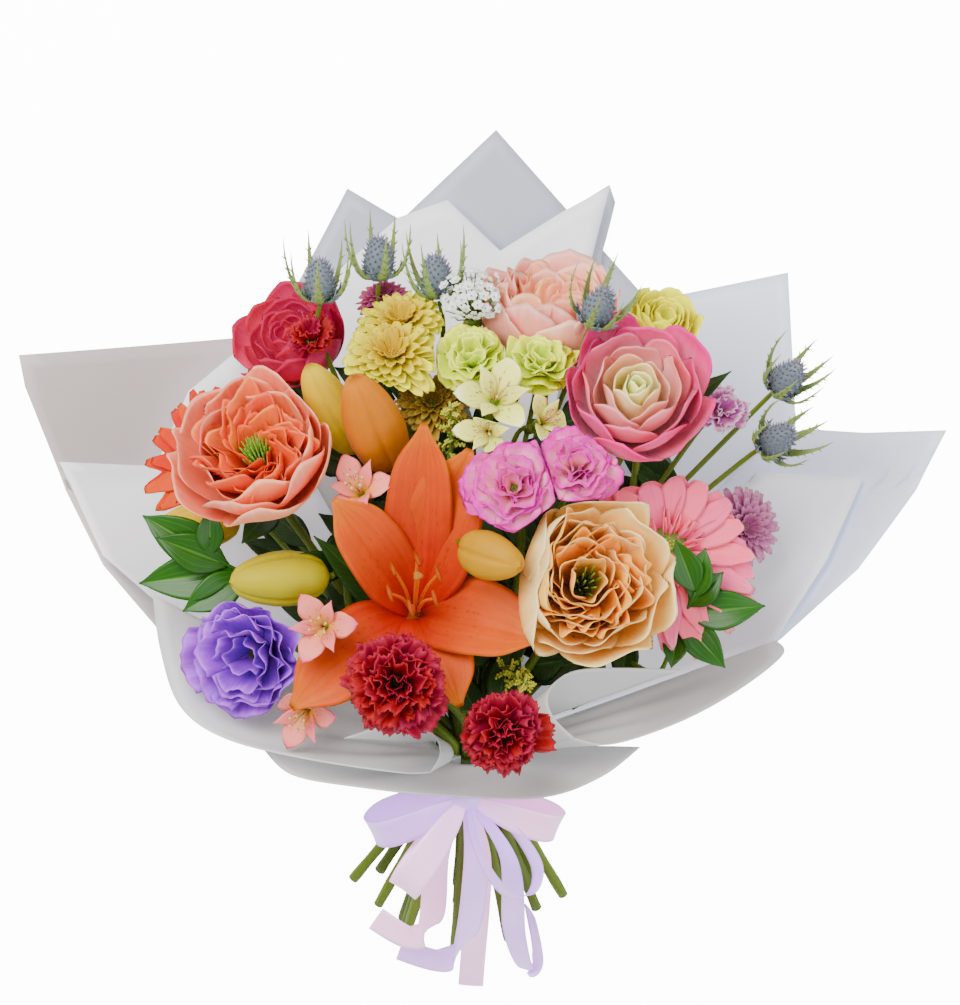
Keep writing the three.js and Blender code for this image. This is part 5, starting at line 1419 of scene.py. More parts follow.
def strip_grid(line, hints, widths, steps):
    """A strip of ribbon along a line, slightly crowned across."""
    centres = curve_points(line, steps + 1)
    ahead = tangents(centres)
    share = np.linspace(0, 1, steps + 1)
    hint = mix(vec(hints[0]), vec(hints[1]), share[:, None])
    side = square(hint - ahead * np.sum(hint * ahead, axis=1, keepdims=True))
    normal = np.cross(ahead, side)
    width = smooth_values(widths, share) / 2
    v = np.linspace(-1, 1, RIBBON_COLUMNS + 1)[None, :]
    ripple = RIBBON_RIPPLE * np.sin(14 * share[:, None]) * v
    lift = RIBBON_CROWN * (1 - v ** 2) * width[:, None] + ripple
    return spread_grid(centres, side, normal, width, v, lift)


def loop_grid(out, side, opening):
    """A loop of the bow, out from the knot and back to it."""
    reach = vec(out)
    across = unit(vec(side))
    width = unit(np.cross(reach, across))
    line = []
    for k in range(LOOP_BENDS + 1):
        turn = TURN * k / LOOP_BENDS
        far = (1 - math.cos(turn)) / 2
        apart = opening * math.sin(turn) * (0.35 + 0.65 * far) + 2.2 * math.cos(turn / 2)
        line.append(KNOT + reach * (far + 4 / np.linalg.norm(reach)) + across * apart)
    widths = vec([GATHERED, 0.95, 1, 0.95, GATHERED]) * RIBBON_WIDTH
    return strip_grid(line, (width, width), widths, 46)


def tail_grid(line, ends):
    widths = vec([GATHERED, 0.8, 0.8, 0.8]) * RIBBON_WIDTH
    return strip_grid([KNOT, *line], ends, widths, 44)


def knot_pleats(turn):
    return 1 + 0.07 * np.cos(7 * turn)


def bow_form():
    form = Form()
    for k, loop in enumerate(LOOPS):
        form.sheet(loop_grid(*loop), RIBBON, (0.2 * k, 0), k % 2)
    for k, tail in enumerate(TAILS):
        form.sheet(tail_grid(*tail), RIBBON, (0.2 * k + 0.1, 0), (k + 1) % 2)
    knot = [[0, -8.6], [4.2, -7.4], [6.2, -4], [6.9, 0], [6.2, 4], [4.2, 7.4], [0, 8.6]]
    form.lathe(knot, KNOT, RIGHT, 42, lobe=knot_pleats)
    return form


def band_form():
    """Two turns of ribbon round the tie."""
    form = Form()
    turn = np.linspace(0, TURN, 73)
    ring = np.cos(turn)[:, None] * RIGHT + np.sin(turn)[:, None] * LIFT
    for layer, shift in ((0, -0.7), (1, 0.9)):
        rows = []
        for height in np.linspace(-BAND_HALF, BAND_HALF, 13) + shift:
            swell = 0.12 * math.sin(1.7 * height + layer) + 0.4 * layer
            radius = BAND_RADIUS + 0.2 + swell
            rows.append(TIE + AXIS * height + radius * ring)
        form.sheet(np.array(rows), 0.35, (0.3 + 0.3 * layer, 0))
    return form


# -------------------- stems

STEM_RADIUS = 2.7
UPPER_RADIUS = 2.1
TWIG_RADIUS = 1.4
HONEYCOMB = 6.1
CELLS = range(-4, 5)
HELD_ABOVE = 14  # the stems run straight from here above the tie
HELD_BELOW = 12  # to here below it
FOOT_DISTANCE = 108.0
FOOT_VARIES = 15
FOOT_AXIS = unit(vec([-0.05, -0.8, -0.6]))
FOOT_SPREAD = 3.4
SIDE_CUT = 0.18
NECK = 20.0
FORK = 0.6
TWIG_STEP = 0.14
FOLIAGE = 6
FOLIAGE_LOW = 34
FOLIAGE_TOP = 106.0
FOLIAGE_MIDDLE = (-5, 34)
FOLIAGE_HALVES = (122, 98)  # half the width and length that the dark leaves fill
CUT_END = [[0, -0.2], [0.9 * STEM_RADIUS, -0.1], [0.9 * STEM_RADIUS, 0.15], [0, 0.2]]
TAPE = [[0, -6], [15.6, -6], [15.9, -4], [15.9, 4], [15.6, 6], [0, 6]]
BUD_RISE = 0.7

STEMS = [
    ["rose_coral"], ["rose_peach"], ["rose_bicolor"], ["rose_blush"], ["gerbera_pink"], ["gerbera_orange"],
    ["rose_magenta", "eryngium_1", "eryngium_2"],
    ["rose_yellow", "carnation_mauve", "eryngium_5", "eryngium_6"],
    ["lily_orange", "bud_amber", "bud_orange"],
    ["bud_lime", "bud_gold", "ruscus_left"],
    ["carnation_lime_left", "carnation_lime_right", "eryngium_4"],
    ["carnation_magenta_left", "carnation_magenta_right"],
    ["carnation_red_left", "carnation_red_right"],
    ["mum_yellow_back", "mum_yellow_front", "mum_bronze", "mum_plum"],
    ["mum_mauve", "ruscus_right"],
    ["lisianthus_purple"],
    ["alstroemeria_white_top", "alstroemeria_white_low", "alstroemeria_white_side"],
    ["alstroemeria_pink_top", "alstroemeria_pink_mid", "alstroemeria_pink_low"],
    ["gypsophila", "eryngium_3", "carnation_crimson", "bud_yellow"],
]
LEAVES = [
    ("lily_orange", (-84, 12, 152), 9),
    ("bud_lime", (-96, 2, 146), 8),
    ("rose_bicolor", (124, 94, 142), 7),
    ("rose_coral", (-120, 8, 142), 8),
    ("carnation_red_left", (-58, -84, 152), 7),
]


def stem_tops():
    """The upper end of each flower's stem, the way it enters the flower, and the cup's radius."""
    tops = {one.name: (one.seat(), one.face, 2 + 0.16 * one.radius) for one in ALL_FLOWERS}
    for name, tip, base, _ in BUDS:
        tops[name] = (vec(base), unit(mix(unit(vec(tip) - vec(base)), UP, BUD_RISE)), None)
    for name, at, face in THISTLES:
        tops[name] = (vec(at) - unit(vec(face)) * 2, unit(vec(face)), None)
    for name, start, end, _ in RUSCUS:
        toward = vec(end) - vec(start)
        tops[name] = (vec(start) - 0.4 * toward, unit(toward), None)
    tops["lily_orange"] = (LILY_AT - LILY_FACE * (LILY_THROAT + 2), LILY_FACE, None)
    return tops


def honeycomb(number):
    cells = [
        (HONEYCOMB * (a + b / 2), HONEYCOMB * b * math.sqrt(0.75))
        for a in CELLS for b in CELLS
    ]
    return sorted(cells, key=lambda cell: math.hypot(*cell))[:number]


def slots_for(targets):
    """Slots in the tie, handed out so that stems cross as little as they can."""
    slots = honeycomb(len(targets))
    offsets = [target - TIE for target in targets]

    def match(k, slot):
        return offsets[k].dot(RIGHT) * slot[0] + offsets[k].dot(LIFT) * slot[1]

    for _ in targets:
        for a in range(len(targets)):
            for b in range(a + 1, len(targets)):
                kept = match(a, slots[a]) + match(b, slots[b])
                if match(a, slots[b]) + match(b, slots[a]) > kept:
                    slots[a], slots[b] = slots[b], slots[a]
    return slots


def at_tie(slot, height):
    return TIE + AXIS * height + RIGHT * slot[0] + LIFT * slot[1]


def foot_of(slot, k):
    """The cut end of a stem, on or above the table."""
    start = at_tie(slot, 0)
    to_table = (start[2] - 0.8 * STEM_RADIUS - 0.3) / -FOOT_AXIS[2]
    reach = min(FOOT_DISTANCE + FOOT_VARIES * math.sin(2.3 * k) - SIDE_CUT * slot[0] ** 2, to_table)
    return start + FOOT_AXIS * reach + RIGHT * slot[0] * FOOT_SPREAD


def stems_form():
    form = Form()
    chance = chance_of("stems")
    tops = stem_tops()
    necks = {name: end - face * NECK for name, (end, face, _) in tops.items()}
    middles = [sum(necks[name] for name in names) / len(names) for names in STEMS]
    for k, (names, middle, slot) in enumerate(zip(STEMS, middles, slots_for(middles))):
        high = at_tie(slot, HELD_ABOVE)
        fork = mix(high, middle, FORK)
        end, face, cup = tops[names[0]]
        upper = curve_points([end - face * 2, necks[names[0]], fork, high], 26)
        low, foot = at_tie(slot, -HELD_BELOW), foot_of(slot, k)
        line = np.concatenate([upper, curve_points([low, mix(low, foot, 0.5), foot], 16)])
        tone = (chance.rand(), 0.15 * (k % 3))
        share = np.linspace(0, 1, len(line))
        radii = np.interp(share, [0, 0.3, 0.6, 1], [1.7, UPPER_RADIUS, STEM_RADIUS, STEM_RADIUS])
        radii = radii * (1 + 0.06 * np.sin(np.arange(len(line)) * 1.3 + k))
        form.tube(line, radii, 10, tone)
        add_cup(form, end, face, cup)
        form.lathe(CUT_END, foot, foot - low, 10, material=1)
        for i, name in enumerate(names[1:]):
            end, face, cup = tops[name]
            joint = mix(fork, high, TWIG_STEP * i)
            twig = curve_points([end - face, necks[name], mix(necks[name], joint, 0.6), joint], 18)
            form.tube(twig, [1.1, TWIG_RADIUS, TWIG_RADIUS], 8, (chance.rand(), 0.2))
            add_cup(form, end, face, cup)
    for name, tip, half in LEAVES:
        tip = vec(tip)
        path = [necks[name], mix(necks[name], tip, 0.5) + [0, 0, 6], tip]
        grid = tongue_grid(path, UP, half, [0.1, 0.7, 1, 0.9, 0.5, 0.03], cup=0.2, steps=20, columns=10,
                           keel=-0.1, wave=0.03)
        form.blade(grid, 0.6, (chance.rand(), 0), 2)
    for name, neck in sorted(necks.items()):
        add_foliage(form, neck, chance_of("foliage " + name))
    form.lathe(TAPE, TIE, AXIS, 40, material=3)
    return form


def add_foliage(form, neck, chance):
    """Very dark leaves that fill the bouquet's depth under a flower: partly real foliage, partly painted
    shade in the gaps between the stems.
    """
    toward = neck - TIE
    for k in range(FOLIAGE):
        root = mix(TIE, neck, 0.45 + 0.4 * (k + 0.5) / FOLIAGE)
        turn = SPIRAL * k + chance.uniform(0, ANY_TURN)
        out = RIGHT * math.cos(turn) + unit(np.cross(toward, RIGHT)) * math.sin(turn)
        tip = root + unit(out + 0.6 * unit(toward)) * chance.uniform(32, 46)
        tip[2] = np.clip(tip[2], FOLIAGE_LOW, min(neck[2] - 8, FOLIAGE_TOP))
        away = (tip[:2] - FOLIAGE_MIDDLE) / FOLIAGE_HALVES
        if np.sum(away ** 2) > 1:
            continue
        path = [root, mix(root, tip, 0.5) + [0, 0, 4], tip]
        half = chance.uniform(7, 10)
        grid = tongue_grid(path, UP, half, [0.1, 0.7, 1, 0.85, 0.5, 0.03], cup=0.22, steps=14, columns=8,
                           keel=-0.1, wave=0.04)
        form.blade(grid, 0.5, (chance.rand(), 0), 2)


def add_cup(form, end, face, cup):
    """The green cup under a flower's heart."""
    if cup:
        profile = [[0, -9], [UPPER_RADIUS, -8], [0.6 * cup, -4], [0.95 * cup, -0.6], [0, -0.3]]
        form.lathe(profile, end, face, 14)


# -------------------- properties

def colour(label, value, text):
    return bpy.props.FloatVectorProperty(
        name=label, description=text, subtype="COLOR", size=3, min=0, max=1, default=value)


class BouquetColours(bpy.types.PropertyGroup):
    """Colours of the bouquet that a user would change."""

    paper: colour("Paper", (0.42, 0.455, 0.54), "Single sheets of frosted paper")
    liner: colour("Liner", (0.9, 0.91, 0.96), "Paper where sheets lie double")
    ribbon: colour("Ribbon", (0.7, 0.44, 0.98), "Satin ribbon")
    leaf: colour("Leaves", (0.012, 0.085, 0.002), "Glossy leaves among the flowers")
    floor: colour("Floor", (0.9, 0.9, 0.9), "The plain table")


class BouquetSizes(bpy.types.PropertyGroup):
    """Sizes of the bouquet's thin parts and its light."""

    paper: bpy.props.FloatProperty(
        name="Paper", description="Thickness of the paper", default=PAPER * MM, min=0.2 * MM, max=0.8 * MM,
        unit="LENGTH")
    light: bpy.props.FloatProperty(
        name="Light", description="Strength of the large lamp", default=88.0, min=0, max=200, unit="POWER")


def colours():
    return bpy.context.scene.bouquet_colours


def sizes():
    return bpy.context.scene.bouquet_sizes


# -------------------- operators

def paper_material(name, color, shadow, glow):
    """Frosted paper with a painted glow: emission that stands in for the light coming through it."""
    values = {"Color": color, "Shadow": shadow, "Scale": 9.0, "Amount": 0.3}
    return new_material(name, soft_creases, values, bump=0.35, depth=0.0012, specular_ior_level=0.4,
                        emission_color=(0.85, 0.89, 1, 1), emission_strength=glow)


class BOUQUET_OT_paper(bpy.types.Operator):
    """Lay and stand the sheets of frosted paper"""

    bl_idname = "bouquet.paper"
    bl_label = "Paper"

    def execute(self, context):
        outer = paper_material("frosted paper", tuple(colours().paper), (0.34, 0.36, 0.43), 0.1)
        # painted light: a lighter, bluer copy of the frosted paper with a stronger glow, for the right
        # sheets, standing in for the stronger light that falls on them
        painted_lit = paper_material("frosted paper bright", (0.7, 0.75, 0.92), (0.56, 0.6, 0.73), 0.2)
        warm = paper_material("frosted paper warm", (0.56, 0.49, 0.47), (0.46, 0.42, 0.41), 0.1)
        double = paper_material("frosted paper double", tuple(colours().liner), (0.74, 0.77, 0.85), 0.22)
        # painted shade: darker copies of the frosted paper for the standing collars, the front one darkest
        painted_shade = paper_material("frosted paper folded", (0.62, 0.615, 0.61), (0.44, 0.44, 0.45), 0.06)
        front = paper_material("frosted paper front", (0.54, 0.525, 0.515), (0.38, 0.37, 0.37), 0.05)
        skins = {"paper_left": warm, "paper_right": painted_lit, "paper_right_upper": painted_lit}
        thickness = sizes().paper / MM
        for name, layer, rim in OPEN_SHEETS:
            form = Form()
            form.sheet(open_sheet_grid(layer, rim), thickness)
            lining = name.startswith("liner")
            slot = "paper_inner" if lining else "paper_outer"
            form.place_piece("sheet_" + name, name, slot, [double if lining else skins.get(name, outer)])
        for name, layer, angles, bulge, rim, roll in STANDING_SHEETS:
            form = Form()
            form.sheet(standing_grid(layer, angles, bulge, rim), thickness)
            if roll:
                form.sheet(rolled_grid(layer, angles, bulge, rim, roll), thickness)
            foremost = name == "collar_front"
            slot = "paper_outer" if foremost else "paper_inner"
            form.place_piece("sheet_" + name, name, slot, [front if foremost else painted_shade])
        return {"FINISHED"}


def satin_material(name, color, shadow, glow):
    """Glossy satin with a painted glow that lifts it above what the lamps give; its Shadow colour is painted
    shade in the creases.
    """
    values = {"Color": color, "Shadow": shadow, "Scale": 30.0, "Amount": 0.5}
    return new_material(name, soft_creases, values, bump=0.25, depth=0.0008, specular_ior_level=0.6,
                        coat_weight=0.9, coat_roughness=0.2, emission_color=(*glow, 1), emission_strength=0.6)


class BOUQUET_OT_ribbon(bpy.types.Operator):
    """Tie the satin ribbon in a bow"""

    bl_idname = "bouquet.ribbon"
    bl_label = "Ribbon"

    def execute(self, context):
        # painted glow: the last colour given to each satin is the colour of its glow
        lilac = satin_material("satin lilac", tuple(colours().ribbon), (0.4, 0.18, 0.86), (0.78, 0.4, 1.0))
        blush = satin_material("satin blush", (1.0, 0.56, 0.8), (0.74, 0.38, 0.92), (1.0, 0.5, 0.85))
        bow_form().place_piece("satin_bow", "ribbon_bow", "ribbon", [lilac, blush])
        band_form().place_piece("satin_band", "ribbon_band", "ribbon", [lilac])
        return {"FINISHED"}


class BOUQUET_OT_stems(bpy.types.Operator):
    """Bind the cut stems with their leaves"""

    bl_idname = "bouquet.stems"
    bl_label = "Stems"

    def execute(self, context):
        stem = leaf_material("stem skin", (0.085, 0.145, 0.003), (0.22, 0.22, 0.012), ribs=5.0, gloss=0.45)
        cut = leaf_material("cut stem ends", (0.55, 0.6, 0.3), (0.7, 0.72, 0.45), gloss=0.6)
        # painted shade: this leaf colour is kept very dark so the leaves also stand in for the shade deep in
        # the bouquet
        leaf = leaf_material("flower leaves", (0.012, 0.05, 0.004), (0.04, 0.12, 0.012), gloss=0.5)
        tape = leaf_material("stem tape", (0.1, 0.2, 0.06), (0.12, 0.22, 0.08), ribs=9.0, gloss=0.6)
        stems_form().place_piece("cut_stems", "stems", "stem_green", [stem, cut, leaf, tape])
        return {"FINISHED"}


class BOUQUET_OT_roses(bpy.types.Operator):
    """Set the roses"""

    bl_idname = "bouquet.roses"
    bl_label = "Roses"

    def execute(self, context):
        tuft = leaf_material("rose threads", (0.12, 0.3, 0.02), (0.4, 0.5, 0.1), gloss=0.5)
        looks = {
            "rose_coral": (dict(cups=3, swirls=5, frill=0.07, threads=44), dict(
                root=(1.0, 0.42, 0.13), middle=(1.0, 0.3, 0.16), rim=(1.0, 0.42, 0.26),
                heart=(0.86, 0.12, 0.012), rim_start=0.82, rim_sides=0.85, veins=0.3)),
            "rose_peach": (dict(cups=7, swirls=3, frill=0.07, loose=5.0, threads=14), dict(
                root=(1.0, 0.46, 0.04), middle=(1.0, 0.58, 0.14), rim=(1.0, 0.78, 0.34),
                heart=(1.0, 0.42, 0.03), rim_start=0.6, rim_sides=0.7, veins=0.15)),
            "rose_bicolor": (dict(cups=8, swirls=0, frill=0.04), dict(
                root=(1.0, 0.84, 0.6), middle=(1.0, 0.46, 0.6), rim=(0.86, 0.006, 0.24),
                heart=(1.0, 0.98, 0.42), heart_share=1.9, rim_start=0.44, rim_sides=0.5, veins=0.2)),
            "rose_blush": (dict(cups=4, swirls=4, frill=0.09), dict(
                root=(1.0, 0.56, 0.24), middle=(1.0, 0.38, 0.28), rim=(1.0, 0.52, 0.42),
                heart=(1.0, 0.4, 0.2), rim_start=0.8, rim_sides=0.85, veins=0.2)),
            # painted highlight: the magenta rose's cream petal roots stand in for the pale highlight on the
            # middle of the bloom
            "rose_magenta": (dict(cups=7, swirls=0, frill=0.04), dict(
                root=(1.0, 0.66, 0.46), middle=(0.82, 0.05, 0.17), rim=(0.44, 0.006, 0.05), root_reach=0.55,
                rim_start=0.7, rim_sides=0.75, veins=0.35)),
            "rose_yellow": (dict(cups=6, swirls=0, frill=0.05), dict(
                root=(0.7, 0.5, 0.0), middle=(0.84, 0.78, 0.0), rim=(0.96, 0.92, 0.0), veins=0.12)),
        }
        for flower in FLOWERS["rose"]:
            plan, tones = looks[flower.name]
            petals = petal_material(flower.name + " petals", **tones)
            slot = "petal_yellow" if flower.name == "rose_yellow" else flower.name
            flower.set_bloom(rose_form(flower, **plan), slot, [petals, green(), tuft])
        return {"FINISHED"}


class BOUQUET_OT_carnations(bpy.types.Operator):
    """Set the carnations"""

    bl_idname = "bouquet.carnations"
    bl_label = "Carnations"

    def execute(self, context):
        lime = petal_material(
            "carnation lime", (0.36, 0.5, 0.0), (0.68, 0.8, 0.005), (0.94, 0.98, 0.1), veins=0.12)
        magenta = petal_material("carnation magenta", (0.8, 0.03, 0.26), (1.0, 0.46, 0.52),
                                 (0.74, 0.004, 0.42), rim_start=0.54, rim_sides=0.5, veins=0.35)
        red = petal_material(
            "carnation red", (0.12, 0.0, 0.004), (0.24, 0.004, 0.016), (0.36, 0.008, 0.03), veins=0.25)
        mauve = petal_material(
            "carnation mauve", (0.3, 0.05, 0.2), (0.5, 0.12, 0.36), (0.8, 0.55, 0.7), veins=0.25)
        kinds = {
            "lime": (lime, "petal_lime", SOFT_FRINGE),
            "magenta": (magenta, "petal_magenta", SOFT_FRINGE),
            "red": (red, "petal_red", SHARP_FRINGE),
            "crimson": (red, "petal_red", SHARP_FRINGE),
            "mauve": (mauve, "petal_mauve", SHARP_FRINGE),
        }
        for flower in FLOWERS["carnation"]:
            petals, slot, fringe = kinds[flower.name.split("_")[1]]
            form = carnation_form(flower, fringe, small=flower.radius < SMALL_CARNATION)
            flower.set_bloom(form, slot, [petals, green()])
        return {"FINISHED"}


class BOUQUET_OT_mums(bpy.types.Operator):
    """Set the chrysanthemums"""

    bl_idname = "bouquet.mums"
    bl_label = "Chrysanthemums"

    def execute(self, context):
        tones = {
            "yellow": ((0.5, 0.28, 0.0), (0.78, 0.7, 0.0), (0.9, 0.86, 0.03), (0.5, 0.22, 0.0)),
            # painted shade: the bronze head is a brownish yellow head that lies in shade, so its tones are
            # darkened
            "bronze": ((0.16, 0.06, 0.0), (0.26, 0.13, 0.01), (0.4, 0.26, 0.03), (0.2, 0.14, 0.01)),
            "plum": ((0.2, 0.01, 0.06), (0.32, 0.02, 0.12), (0.5, 0.1, 0.22), (0.25, 0.03, 0.08)),
            "mauve": ((0.3, 0.04, 0.16), (0.42, 0.08, 0.26), (0.6, 0.25, 0.42), (0.35, 0.1, 0.2)),
        }
        for flower in FLOWERS["mum"]:
            kind = flower.name.split("_")[1]
            root, middle, rim, heart = tones[kind]
            petals = petal_material(
                flower.name + " florets", root, middle, rim, heart, rim_start=0.5, rim_sides=0.9, veins=0.25)
            button = petal_material(flower.name + " button", heart, heart, middle, veins=0.2)
            slot = "petal_mauve" if kind == "mauve" else "mum_" + kind
            flower.set_bloom(mum_form(flower), slot, [petals, green(), button])
        return {"FINISHED"}


class BOUQUET_OT_gerberas(bpy.types.Operator):
    """Set the gerberas"""

    bl_idname = "bouquet.gerberas"
    bl_label = "Gerberas"

    def execute(self, context):
        pink = petal_material(
            "gerbera pink rays", (0.86, 0.05, 0.16), (0.96, 0.13, 0.25), (1.0, 0.28, 0.38), veins=0.3)
        orange = petal_material(
            "gerbera orange rays", (0.4, 0.006, 0.0), (0.6, 0.03, 0.0), (0.68, 0.05, 0.0), veins=0.3)
        disc = petal_material(
            "gerbera disc", (0.3, 0.34, 0.0), (0.55, 0.52, 0.02), (0.7, 0.6, 0.06), (0.6, 0.4, 0.03))
        for flower in FLOWERS["gerbera"]:
            rays = pink if flower.name.endswith("pink") else orange
            flower.set_bloom(gerbera_form(flower), flower.name, [rays, green(), disc])
        return {"FINISHED"}


class BOUQUET_OT_lisianthus(bpy.types.Operator):
    """Set the lisianthus"""

    bl_idname = "bouquet.lisianthus"
    bl_label = "Lisianthus"

    def execute(self, context):
        petals = petal_material(
            "lisianthus petals", (0.15, 0.018, 0.4), (0.27, 0.035, 0.62), (0.42, 0.1, 0.8),
            veins=0.4, rim_start=0.75)
        for flower in FLOWERS["lisianthus"]:
            flower.set_bloom(lisianthus_form(flower), "petal_purple", [petals, green()])
        return {"FINISHED"}


class BOUQUET_OT_alstroemerias(bpy.types.Operator):
    """Set the alstroemerias"""

    bl_idname = "bouquet.alstroemerias"
    bl_label = "Alstroemerias"

    def execute(self, context):
        white = petal_material("alstroemeria white", (0.46, 0.6, 0.0), (0.9, 0.9, 0.2), (1.0, 1.0, 0.5),
                               marks=((0.1, 0.06, 0.01), 1.0, 12.0, 5.0), veins=0.15)
        pink = petal_material("alstroemeria pink", (0.9, 0.55, 0.01), (0.92, 0.22, 0.2), (0.86, 0.13, 0.22),
                              marks=((0.25, 0.02, 0.05), 0.8, 12.0, 5.0), veins=0.2, root_reach=0.6)
        pollen = petal_material("alstroemeria pollen", (0.5, 0.3, 0.1), (0.6, 0.4, 0.15), (0.85, 0.7, 0.4))
        for flower in FLOWERS["alstroemeria"]:
            petals, slot = (white, "petal_white") if "white" in flower.name else (pink, "petal_pink")
            flower.set_bloom(alstroemeria_form(flower), slot, [petals, green(), pollen])
        return {"FINISHED"}


class BOUQUET_OT_lily(bpy.types.Operator):
    """Set the open lily and its buds"""

    bl_idname = "bouquet.lily"
    bl_label = "Lily and buds"

    def execute(self, context):
        tepals = petal_material(
            "lily tepals", (0.44, 0.004, 0.0), (0.56, 0.07, 0.0), (0.56, 0.125, 0.0),
            marks=((0.1, 0.01, 0.0), 0.25, 14.0, 16.0), veins=0.3, root_reach=0.95, rim_sides=0.8)
        thread = petal_material("lily threads", (0.6, 0.1, 0.0), (0.66, 0.13, 0.0), (0.6, 0.1, 0.0))
        pollen = petal_material("lily pollen", (0.2, 0.03, 0.0), (0.3, 0.045, 0.0), (0.36, 0.06, 0.0))
        throat = petal_material("lily throat", (0.2, 0.25, 0.02), (0.35, 0.12, 0.01), (0.4, 0.1, 0.01))
        skins = [tepals, thread, pollen, throat]
        lily_form().place_piece("bloom_lily_orange", "lily_orange", "lily_petal", skins)
        tones = {
            "bud_yellow": ((0.36, 0.38, 0.0), (0.58, 0.48, 0.0), (0.6, 0.42, 0.0)),
            "bud_orange": ((0.4, 0.16, 0.0), (0.5, 0.095, 0.0), (0.52, 0.15, 0.0)),
            "bud_amber": ((0.4, 0.08, 0.0), (0.44, 0.135, 0.0), (0.46, 0.22, 0.0)),
            "bud_lime": ((0.12, 0.18, 0.0), (0.3, 0.3, 0.0), (0.4, 0.34, 0.0)),
            "bud_gold": ((0.46, 0.32, 0.0), (0.56, 0.4, 0.0), (0.58, 0.36, 0.0)),
        }
        for name, tip, base, radius in BUDS:
            marks = ((0.2, 0.12, 0.02), 0.6, 30.0, 14.0) if name == "bud_lime" else None
            skin = petal_material(name + " skin", *tones[name], root_reach=0.35, rim_start=0.85,
                                  rim_sides=2.0, veins=0.25, marks=marks)
            bud_form(base, tip, radius - 0.2).place_piece("bloom_" + name, name, "bud_skin", [skin])
        return {"FINISHED"}


class BOUQUET_OT_thistles(bpy.types.Operator):
    """Set the sea holly"""

    bl_idname = "bouquet.thistles"
    bl_label = "Sea holly"

    def execute(self, context):
        head = petal_material("sea holly head", (0.1, 0.13, 0.14), (0.14, 0.17, 0.2), (0.26, 0.28, 0.3),
                              heart=(0.2, 0.21, 0.3))
        bract = petal_material("sea holly bracts", (0.16, 0.24, 0.06), (0.12, 0.24, 0.02), (0.2, 0.3, 0.08),
                               rim_start=0.7, rim_sides=1.2)
        spine = petal_material("sea holly spines", (0.16, 0.22, 0.16), (0.17, 0.22, 0.26), (0.2, 0.24, 0.42))
        for name, at, face in THISTLES:
            thistle_form(at, face, name).place_piece("head_" + name, name, "thistle", [head, bract, spine])
        return {"FINISHED"}


class BOUQUET_OT_ruscus(bpy.types.Operator):
    """Set the glossy leaves"""

    bl_idname = "bouquet.ruscus"
    bl_label = "Glossy leaves"

    def execute(self, context):
        leaf = leaf_material("glossy leaf", tuple(colours().leaf), (0.06, 0.2, 0.01), ribs=0.0, gloss=0.28)
        for name, start, end, tips in RUSCUS:
            sprig_form(start, end, tips, name).place_piece("sprig_" + name, name, "leaf_green", [leaf])
        return {"FINISHED"}


class BOUQUET_OT_fillers(bpy.types.Operator):
    """Set the baby's breath and the goldenrod"""

    bl_idname = "bouquet.fillers"
    bl_label = "Fillers"

    def execute(self, context):
        white = petal_material(
            "baby's breath", (0.75, 0.8, 0.6), (0.92, 0.93, 0.88), (0.97, 0.97, 0.94), veins=0.1)
        for flower in FLOWERS["gypsophila"]:
            form = gypsophila_form(flower)
            form.place_piece("cluster_" + flower.name, flower.name, "petal_white", [white, green()])
        plume = petal_material("goldenrod florets", (0.3, 0.36, 0.03), (0.5, 0.5, 0.05), (0.75, 0.68, 0.08))
        for name, line in SOLIDAGO:
            plume_form(line, name).place_piece("plume_" + name, name, "filler_green", [plume, green()])
        return {"FINISHED"}


TABLE_GLOW = 12.0
TABLE_BOUNCE = 0.25


def table_material():
    """A pale table that looks white without lighting the bouquet from below."""
    values = {"Color": tuple(colours().floor), "Shadow": (0.86, 0.86, 0.86), "Scale": 2.0, "Amount": 0.1}
    material = new_material("table", soft_creases, values, bump=0.02, emission_color=(1, 1, 1, 1))
    graph = Graph(material.node_tree)
    seen = graph.node("ShaderNodeLightPath").outputs["Is Camera Ray"]
    glow = graph.math("MULTIPLY_ADD", seen, TABLE_GLOW, TABLE_BOUNCE)
    graph.feed(material.node_tree.nodes["Principled BSDF"].inputs["Emission Strength"], glow)
    return material


# The stage, in metres.
CAMERA_AT = (-1.25 * MM, 28.5 * MM, 5.12)
LENS = 358.0  # in millimetres, like the sensor
SENSOR = 36.0
CAMERA_REACH = 20.0
FLOOR_HALF = 4.0
FLOOR_DROP = 0.3 * MM
SURROUND = 0.78
LAMPS = [
    # name, place, width, share of the light, colour
    ("key", (-0.9, 0.9, 1.9), 1.6, 1.0, (1.0, 0.98, 0.95)),
    ("fill", (1.3, -0.5, 1.5), 2.2, 0.4, (0.95, 0.97, 1.0)),
]
LIT_PLACE = (0, 0, 0.1)  # the middle of the bouquet


def aim(place):
    """Turn that points a lamp at the middle of the bouquet."""
    toward = Vector(LIT_PLACE) - Vector(place)
    return toward.to_track_quat("-Z", "Y").to_euler()


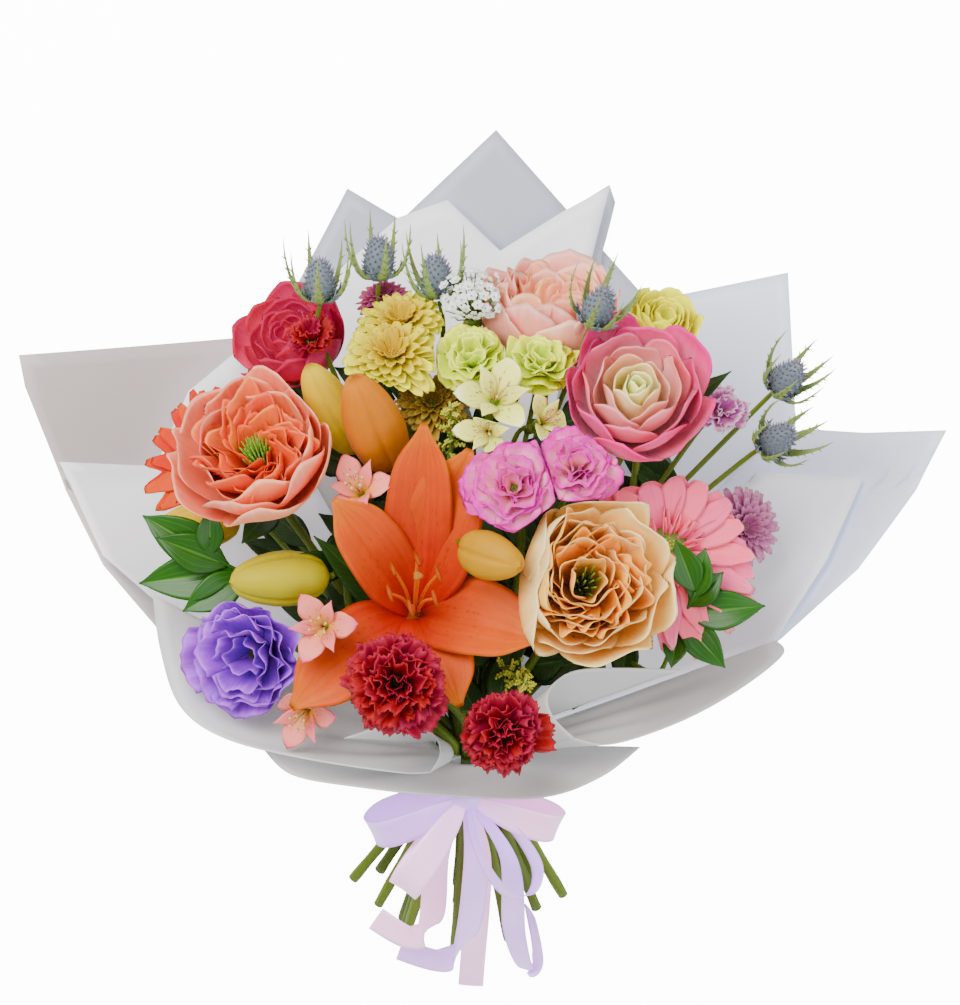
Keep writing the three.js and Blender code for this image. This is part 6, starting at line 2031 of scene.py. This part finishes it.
class BOUQUET_OT_stage(bpy.types.Operator):
    """Lay the floor and set the light and the camera"""

    bl_idname = "bouquet.stage"
    bl_label = "Stage"

    def execute(self, context):
        scene = context.scene
        camera = bpy.data.objects.new("camera", bpy.data.cameras.new("camera"))
        scene.collection.objects.link(camera)
        camera.location = CAMERA_AT
        camera.data.lens = LENS
        camera.data.sensor_width = SENSOR
        camera.data.clip_end = CAMERA_REACH
        scene.camera = camera
        floor_mesh = bpy.data.meshes.new("floor")
        corners = [(x * FLOOR_HALF, y * FLOOR_HALF, 0) for x, y in ((-1, -1), (1, -1), (1, 1), (-1, 1))]
        floor_mesh.from_pydata(corners, [], [(0, 1, 2, 3)])
        floor = bpy.data.objects.new("floor", floor_mesh)
        floor.location.z = -FLOOR_DROP
        scene.collection.objects.link(floor)
        floor_mesh.materials.append(table_material())
        for name, place, width, share, color in LAMPS:
            lamp = bpy.data.objects.new(name, bpy.data.lights.new(name, "AREA"))
            lamp.data.size = width
            lamp.data.energy = share * sizes().light
            lamp.data.color = color
            lamp.location = place
            lamp.rotation_euler = aim(place)
            scene.collection.objects.link(lamp)
        world = scene.world or bpy.data.worlds.new("studio")
        scene.world = world
        world.use_nodes = True
        surround = world.node_tree.nodes["Background"]
        surround.inputs["Color"].default_value = (1, 1, 1, 1)
        surround.inputs["Strength"].default_value = SURROUND
        return {"FINISHED"}


class BOUQUET_PT_panel(bpy.types.Panel):
    """Lists the bouquet's pieces, sizes and colours"""

    bl_idname = "BOUQUET_PT_panel"
    bl_label = "Rose bouquet"
    bl_space_type = "VIEW_3D"
    bl_region_type = "UI"
    bl_category = "Bouquet"

    def draw(self, context):
        for name in ("paper", "liner", "ribbon", "leaf", "floor"):
            self.layout.prop(context.scene.bouquet_colours, name)
        for name in ("paper", "light"):
            self.layout.prop(context.scene.bouquet_sizes, name)
        for operator in OPERATORS:
            self.layout.operator(operator.bl_idname)


OPERATORS = (
    BOUQUET_OT_stage, BOUQUET_OT_paper, BOUQUET_OT_ribbon, BOUQUET_OT_stems, BOUQUET_OT_roses,
    BOUQUET_OT_carnations, BOUQUET_OT_mums, BOUQUET_OT_gerberas, BOUQUET_OT_lisianthus,
    BOUQUET_OT_alstroemerias, BOUQUET_OT_lily, BOUQUET_OT_thistles, BOUQUET_OT_ruscus, BOUQUET_OT_fillers,
)
CLASSES = (BouquetColours, BouquetSizes, *OPERATORS, BOUQUET_PT_panel)


def register():
    for one_class in CLASSES:
        bpy.utils.register_class(one_class)
    bpy.types.Scene.bouquet_colours = bpy.props.PointerProperty(type=BouquetColours)
    bpy.types.Scene.bouquet_sizes = bpy.props.PointerProperty(type=BouquetSizes)


def unregister():
    del bpy.types.Scene.bouquet_sizes
    del bpy.types.Scene.bouquet_colours
    for one_class in reversed(CLASSES):
        bpy.utils.unregister_class(one_class)


def main():
    register()
    bpy.ops.bouquet.stage()
    bpy.ops.bouquet.paper()
    bpy.ops.bouquet.ribbon()
    bpy.ops.bouquet.stems()
    bpy.ops.bouquet.roses()
    bpy.ops.bouquet.carnations()
    bpy.ops.bouquet.mums()
    bpy.ops.bouquet.gerberas()
    bpy.ops.bouquet.lisianthus()
    bpy.ops.bouquet.alstroemerias()
    bpy.ops.bouquet.lily()
    bpy.ops.bouquet.thistles()
    bpy.ops.bouquet.ruscus()
    bpy.ops.bouquet.fillers()


if __name__ == "__main__":
    main()
